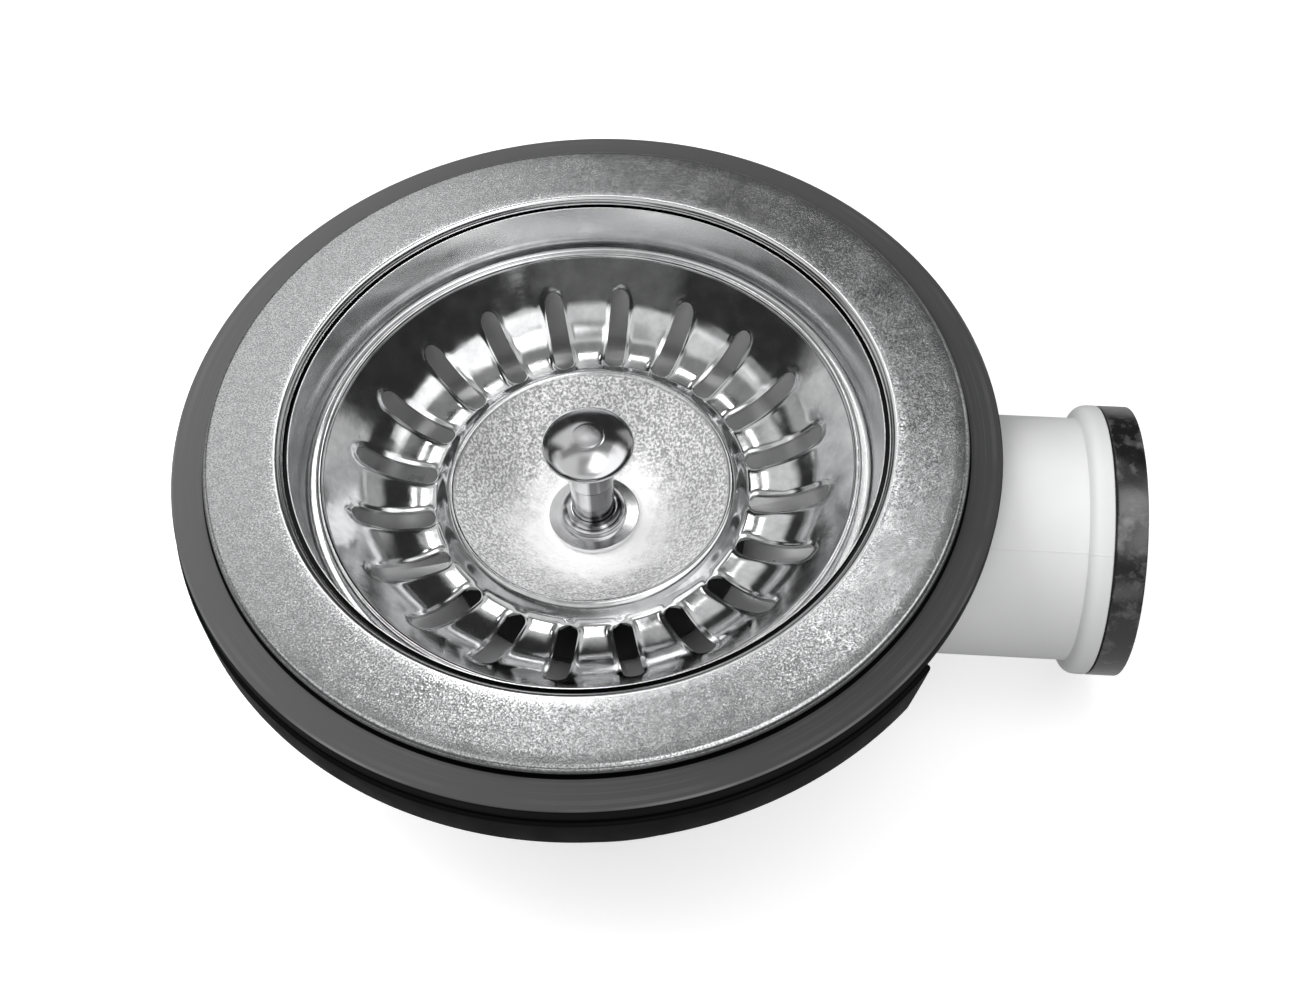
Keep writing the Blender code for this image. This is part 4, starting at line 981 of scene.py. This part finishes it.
def basket_shell(material):
    """One pressed sheet whose mesh follows the edge of every slot, with the edges drawn down a little."""
    path = basket_path()
    half = SLOT_WIDTH / 2
    slot_inner = RIDGE_RADIUS + SLOT_FROM_RIDGE
    slot_outer = CREASE_RADIUS + SLOT_PAST_CREASE
    pitch = 2 * math.pi / SLOTS
    solid = bmesh.new()
    rows = []
    for radius in basket_stations(path, slot_outer, slot_inner):
        past_end = max(radius - (slot_outer - half), (slot_inner + half) - radius, 0.0)
        edge = math.sqrt(max(half * half - past_end * past_end, 0.0)) / radius
        row = []
        for slot in range(SLOTS):
            middle = math.radians(SLOT_PHASE_DEG) + slot * pitch
            strip = []
            for column in range(STRIP_COLUMNS + 1):
                share = column / STRIP_COLUMNS
                share -= STRIP_CROWDING * math.sin(2 * math.pi * share)
                angle = edge + (pitch - 2 * edge) * share
                from_edge = math.hypot(past_end, radius * min(angle, pitch - angle)) - half
                lip = SLOT_LIP * math.exp(-(max(from_edge, 0.0) / SLOT_LIP_WIDTH) ** 2)
                strip.append(solid.verts.new(upright(radius, depth_at(path, radius) + lip, middle + angle)))
            row.append(strip)
        rows.append(row)
    for row, following in zip(rows, rows[1:]):
        for strip, below in zip(row, following):
            for i in range(STRIP_COLUMNS):
                solid.faces.new((strip[i], strip[i + 1], below[i + 1], below[i]))
    bmesh.ops.remove_doubles(solid, verts=solid.verts[:], dist=GAP / 100)
    shell = add_piece("slotted_basket", solid, SHEET_SHARP_DEG)
    if sum(polygon.normal.z for polygon in shell.data.polygons) < 0:
        shell.data.flip_normals()
    thick = shell.modifiers.new("sheet", "SOLIDIFY")
    thick.thickness = BASKET_SHEET
    thick.offset = -1
    thick.use_even_offset = True
    soften(shell, SLOT_EDGE_BEVEL, limit_deg=SHEET_SHARP_DEG)
    apply_modifiers(shell)
    dress(shell, material, "basket_shell", "basket")
    bead = (RIM_RADIUS - RIM_BEAD, RIM_DEPTH + RIM_BEAD)
    rim = turned("basket_rim", arc(bead, RIM_BEAD, 0, 360, steps=24)[:-1], LARGE)
    dress(rim, material, "basket_shell", "basket")


def knob(material):
    """Mushroom knob: a shallow dome with a faint ring mark, a turned-in edge and a neck."""
    rim_depth = KNOB_DEPTH + KNOB_DOME
    edge_bottom = rim_depth + KNOB_EDGE_DROP
    knob_bottom = KNOB_DEPTH + KNOB_HEIGHT
    shoulder = KNOB_EDGE_SHARE * KNOB_RADIUS
    crown = KNOB_DEPTH - KNOB_CROWN
    fall = (rim_depth - crown) / (KNOB_EDGE_SHARE * (2 - KNOB_EDGE_SHARE))
    outline = []
    for step in range(KNOB_RINGS):
        radius = shoulder * step / KNOB_RINGS
        mark = math.exp(-((radius - KNOB_MARK_RADIUS) / (KNOB_MARK_WIDTH / 2)) ** 2)
        outline.append((radius, crown + fall * (radius / KNOB_RADIUS) ** 2 + KNOB_MARK_DEPTH * mark))
    edge_depth = crown + fall * KNOB_EDGE_SHARE ** 2
    steepest = edge_depth + 2 * fall * KNOB_EDGE_SHARE * (1 - KNOB_EDGE_SHARE)
    outline += bend((shoulder, edge_depth), (KNOB_RADIUS, steepest), (KNOB_RADIUS, edge_bottom),
                    steps=16)[:-1]
    outline += bend((KNOB_RADIUS, edge_bottom), (KNOB_RADIUS, (edge_bottom + knob_bottom) / 2),
                    (KNOB_NECK_RADIUS, knob_bottom))[1:]
    outline += [(THREAD_HOLE_RADIUS, knob_bottom), (THREAD_HOLE_RADIUS, KNOB_DEPTH + KNOB_ROOF),
                (0, KNOB_DEPTH + KNOB_ROOF)]
    dress(turned("knob", outline, MIDDLE), material, "pull_knob", "basket")


def stem_pieces(material):
    """Stem, the sleeve above it, the knob, and the collar at its foot."""
    thread_top = KNOB_DEPTH + KNOB_ROOF + GAP
    outline = [(0, thread_top), (STEM_THREAD_RADIUS, thread_top), (STEM_THREAD_RADIUS, STEM_SHOULDER),
               (STEM_RADIUS, STEM_SHOULDER), (STEM_RADIUS, STEM_SEAT), (STEM_THREAD_RADIUS, STEM_SEAT),
               (STEM_THREAD_RADIUS, STEM_END), (0, STEM_END)]
    add_turned("post", outline, material, "stem", "basket")
    outline = ring_outline(THREAD_HOLE_RADIUS, SLEEVE_RADIUS, SLEEVE_TOP, SLEEVE_BOTTOM)
    add_turned("sleeve", outline, material, "knob_sleeve", "basket")
    knob(material)

    bottom = DISH_DEPTH - GAP
    face = bottom - COLLAR_THICKNESS
    hub_top = face - COLLAR_HUB_HEIGHT
    bore = STEM_RADIUS + GAP / 6
    outline = bend((bore, hub_top), (COLLAR_HUB_RADIUS, hub_top),
                   (COLLAR_HUB_RADIUS, hub_top + COLLAR_HUB_HEIGHT * COLLAR_HUB_ROUND_SHARE), steps=16)
    outline += round_corner((COLLAR_HUB_RADIUS, face), (0, -SMALL_ROUND), (SMALL_ROUND, 0), steps=4)
    outline += [(COLLAR_RADIUS, face), (COLLAR_RADIUS, bottom), (bore, bottom)]
    add_turned("collar", outline, material, "stem_collar", "basket")


def seal_pieces(rubber, steel, plastic):
    """Rubber seal, backing plate, hexagon nut, nylon plug and its rubber ring."""
    underside = SEAL_TOP + SEAL_THICKNESS
    outline = [(THREAD_HOLE_RADIUS, SEAL_TOP), (SEAL_FLAT_RADIUS, SEAL_TOP),
               (SEAL_RADIUS, SEAL_LIP_BOTTOM - SEAL_LIP_DROP / 2), (SEAL_RADIUS, SEAL_LIP_BOTTOM),
               (SEAL_RADIUS - SEAL_LIP_WIDTH, SEAL_LIP_BOTTOM), (SEAL_FLAT_RADIUS, underside),
               (THREAD_HOLE_RADIUS, underside)]
    add_turned("rubber_disc", outline, rubber, "basket_seal", "basket", MIDDLE, edge=GASKET_ROUND)
    outline = ring_outline(THREAD_HOLE_RADIUS, PLATE_RADIUS, PLATE_TOP, PLATE_TOP + PLATE_THICKNESS)
    add_turned("backing_plate", outline, steel, "seal_plate", "basket")

    solid = bmesh.new()
    reach = NUT_FLATS / math.sqrt(3)
    prism(solid, [(reach * math.cos(math.pi * i / 3), reach * math.sin(math.pi * i / 3)) for i in range(6)],
          TOP - NUT_TOP - NUT_HEIGHT, TOP - NUT_TOP)
    nut = add_piece("hexagon_nut", solid)
    nut_bottom = NUT_TOP + NUT_HEIGHT
    bore = [(0, NUT_TOP - OVERRUN), (THREAD_HOLE_RADIUS, NUT_TOP - OVERRUN),
            (THREAD_HOLE_RADIUS, nut_bottom + OVERRUN), (0, nut_bottom + OVERRUN)]
    combine(nut, turned("nut_bore", bore))
    soften(nut, SMALL_ROUND)
    apply_modifiers(nut)
    dress(nut, steel, "stem_nut", "basket")

    ring_depth = (PLUG_TOP + PLUG_BOTTOM) / 2
    groove_half = GRIP_RING_SECTION + GAP
    groove_floor = PLUG_RADIUS - GRIP_GROOVE
    hole_bottom = STEM_END + GAP
    outline = [(THREAD_HOLE_RADIUS, PLUG_TOP), (PLUG_RADIUS, PLUG_TOP),
               (PLUG_RADIUS, ring_depth - groove_half), (groove_floor, ring_depth - groove_half),
               (groove_floor, ring_depth + groove_half), (PLUG_RADIUS, ring_depth + groove_half),
               (groove_floor, PLUG_BOTTOM), (0, PLUG_BOTTOM), (0, hole_bottom),
               (THREAD_HOLE_RADIUS, hole_bottom)]
    add_turned("nylon_plug", outline, plastic, "grip_plug", "basket")
    outline = arc((GRIP_RING_RADIUS, ring_depth), GRIP_RING_SECTION, 0, 360, steps=16)[:-1]
    dress(turned("plug_ring", outline), rubber, "grip_ring", "basket")


# Studio

# The pale floor and the backdrop that the camera sees
FLOOR_REACH = 6.0
FLOOR_COLOUR = (0.86, 0.86, 0.86, 1)
FLOOR_GLOW = 0.45
BACKDROP_GREY = 0.95

# Lamps that the steel doesn't mirror: name, azimuth, elevation, distance, size and power
LAMPS = (
    ("overhead", -20, 75, 1.0, 0.9, 2.5),
    ("left_soft", -75, 50, 0.3, 0.25, 0.60),
    ("front_fill", 184, 34, 1.0, 0.5, 4.1),
)

# Room that the steel mirrors: a pale ceiling that fades out between two elevations and a table's glow,
# less the shades and plus the panels (azimuth, elevation, half width, half height, edge softness in
# degrees, brightness)
ROOM_GREY = 0.03
ROOM_CEILING = 0.70
CEILING_FADE = (39, 48)
TABLE_GLOW = 0.32
TABLE_FADE = 0.08
PANEL_AHEAD = 0.1
ROOM_SHADES = (
    (-12, 27, 40, 34, 8, 0.70),
    (-10, 70, 34, 10, 6, 0.45),
    (178, 80, 14, 13, 8, 0.32),
)
ROOM_PANELS = (
    (-34.6, 44, 16.9, 14.2, 9.4, 0.65),
    (-14.2, 57.5, 2.0, 4.3, 1.6, 4.6),
    (6, 57.5, 1.6, 1.9, 1.5, 4.6),
    (1.5, 55.6, 1.6, 1.5, 1.5, 4.3),
    (105, 57, 34, 12, 2, 0.6),
    (252, 42, 15, 9, 3, 0.3),
    (185, 34, 24, 8, 8, 0.09),
    (55, 9, 14, 6, 3, 0.5),
    (-75, 9, 12, 6, 3, 0.55),
    (110, 79, 12, 8, 8, 1.6),
    (178, 14, 20, 8, 6, 0.75),
    (42, 24, 12, 9, 8, 0.35),
    (-78, 24, 12, 9, 8, 0.35),
)


def direction(azimuth_deg, elevation_deg):
    """Unit vector; azimuth 0 is behind the drain, +Y, and turns towards +X, elevation 90 is up."""
    azimuth, elevation = math.radians(azimuth_deg), math.radians(elevation_deg)
    return Vector((math.sin(azimuth) * math.cos(elevation), math.cos(azimuth) * math.cos(elevation),
                   math.sin(elevation)))


def add_camera():
    """The photo's camera: it looks so that the flange's centre falls on its pixel."""
    back = direction(180 - CAMERA_AZIMUTH, CAMERA_ELEVATION)
    right = direction(90 - CAMERA_AZIMUTH, 0)
    turn = Matrix((right, back.cross(right), back))
    yaw = math.atan((CENTRE_PIXEL[0] - PHOTO_WIDTH / 2) / FOCAL_PIXELS)
    pitch = math.atan((PHOTO_HEIGHT / 2 - CENTRE_PIXEL[1]) / FOCAL_PIXELS)
    turn = Matrix.Rotation(-math.radians(CAMERA_ROLL), 3, "Z") @ turn
    turn = Matrix.Rotation(-yaw, 3, "Y") @ turn
    turn = Matrix.Rotation(pitch, 3, "X") @ turn
    data = bpy.data.cameras.new("camera")
    data.sensor_fit = "HORIZONTAL"
    data.sensor_width = SENSOR_WIDTH
    data.lens = FOCAL_PIXELS / PHOTO_WIDTH * SENSOR_WIDTH
    data.clip_start = CAMERA_CLIP_START
    camera = bpy.data.objects.new("camera", data)
    bpy.context.scene.collection.objects.link(camera)
    stand = Matrix.Translation(Vector((0, 0, TOP)) + back * CAMERA_DISTANCE)
    camera.matrix_world = stand @ turn.transposed().to_4x4()
    bpy.context.scene.camera = camera


def add_floor():
    """A wide pale floor under the foot."""
    solid = bmesh.new()
    bmesh.ops.create_grid(solid, x_segments=2, y_segments=2, size=FLOOR_REACH)
    floor = add_piece("floor", solid)
    m = Nodes("floor", FLOOR_COLOUR)
    m.shade("Roughness", 0.9)
    m.shade("Specular IOR Level", 0.1)
    m.shade("Emission Color", (1, 1, 1, 1))
    m.shade("Emission Strength", FLOOR_GLOW)
    floor.data.materials.append(m.material)
    floor.visible_diffuse = False
    floor.visible_glossy = False


def add_lamp(name, azimuth_deg, elevation_deg, distance, size, power):
    """A soft box that faces the drain."""
    towards = direction(azimuth_deg, elevation_deg)
    data = bpy.data.lights.new(name, "AREA")
    data.size = size
    data.energy = power
    lamp = bpy.data.objects.new(name, data)
    bpy.context.scene.collection.objects.link(lamp)
    lamp.location = Vector((0, 0, TOP)) + towards * distance
    lamp.rotation_euler = towards.to_track_quat("Z", "Y").to_euler()
    lamp.visible_glossy = False
    lamp.visible_camera = False


def add_world():
    """A dark studio with pale panels for the steel to mirror; the camera sees a plain pale backdrop."""
    world = bpy.data.worlds.new("world")
    bpy.context.scene.world = world
    world.use_nodes = True
    t = Tree(world.node_tree)
    looking = t.node("ShaderNodeTexCoord").outputs["Generated"]

    def along(axis):
        return t.vectors("DOT_PRODUCT", {0: looking, 1: axis}, "Value")

    def fade(value, inner, outer):
        return t.remap(value, outer, inner, interpolation_type="SMOOTHSTEP")

    def panel(azimuth, elevation, half_width, half_height, soft, brightness):
        middle = direction(azimuth, elevation)
        side = direction(azimuth + 90, 0)
        ahead = t.maths("MAXIMUM", along(middle), PANEL_AHEAD)
        light = t.times(t.maths("GREATER_THAN", along(middle), PANEL_AHEAD), brightness)
        for axis, half in ((side, half_width), (side.cross(middle), half_height)):
            off = t.maths("ABSOLUTE", t.maths("DIVIDE", along(axis), ahead))
            inner, outer = (math.tan(math.radians(half + soft * part)) for part in (-0.5, 0.5))
            light = t.times(light, fade(off, inner, outer))
        return light

    low, high = (math.sin(math.radians(elevation)) for elevation in CEILING_FADE)
    height = along((0, 0, 1))
    light = t.plus(t.times(fade(height, high, low), ROOM_CEILING),
                   t.times(fade(height, -TABLE_FADE, 0.0), TABLE_GLOW))
    for shade in ROOM_SHADES:
        light = t.maths("SUBTRACT", light, panel(*shade))
    light = t.maths("MAXIMUM", light, ROOM_GREY)
    for pale in ROOM_PANELS:
        light = t.plus(light, panel(*pale))
    seen = t.node("ShaderNodeLightPath").outputs["Is Camera Ray"]
    pick = t.node("ShaderNodeMix", {"Factor": seen, "A": light, "B": BACKDROP_GREY})
    t.put(t.tree.nodes["Background"].inputs["Color"], pick.outputs["Result"])


add_camera()
flange_steel = grained_steel()
chromed = chrome()
fastener = plain("fastener_steel", (0.62, 0.62, 0.63, 1), 300, (0.28, 0.42), (1500, 2.0, 0.00001), metal=True)
soft_rubber = plain("seal_rubber", tone(0.018), 250, (0.5, 0.7), (2200, 3.0, 0.00002))
nylon = plain("nylon", (0.72, 0.71, 0.66, 1), 200, (0.38, 0.52), (1500, 2.0, 0.00001))
brass = plain("turned_brass", (0.72, 0.52, 0.22, 1), 400, (0.24, 0.38), (1500, 2.0, 0.00001), metal=True)
housing_plastic = black_plastic()
strainer_bowl(flange_steel)
gasket_and_seal(gasket_rubber(), soft_rubber)
waste_housing(housing_plastic)
housing_floor(housing_plastic)
outlet_pieces(white_plastic(), end_rubber(), soft_rubber)
clamp_pieces(fastener, soft_rubber, brass, flange_steel)
grip_bush(nylon)
basket_shell(polished_steel())
stem_pieces(chromed)
seal_pieces(soft_rubber, fastener, nylon)
add_floor()
add_world()
for lamp_values in LAMPS:
    add_lamp(*lamp_values)
bpy.context.scene.view_settings.view_transform = "Standard"
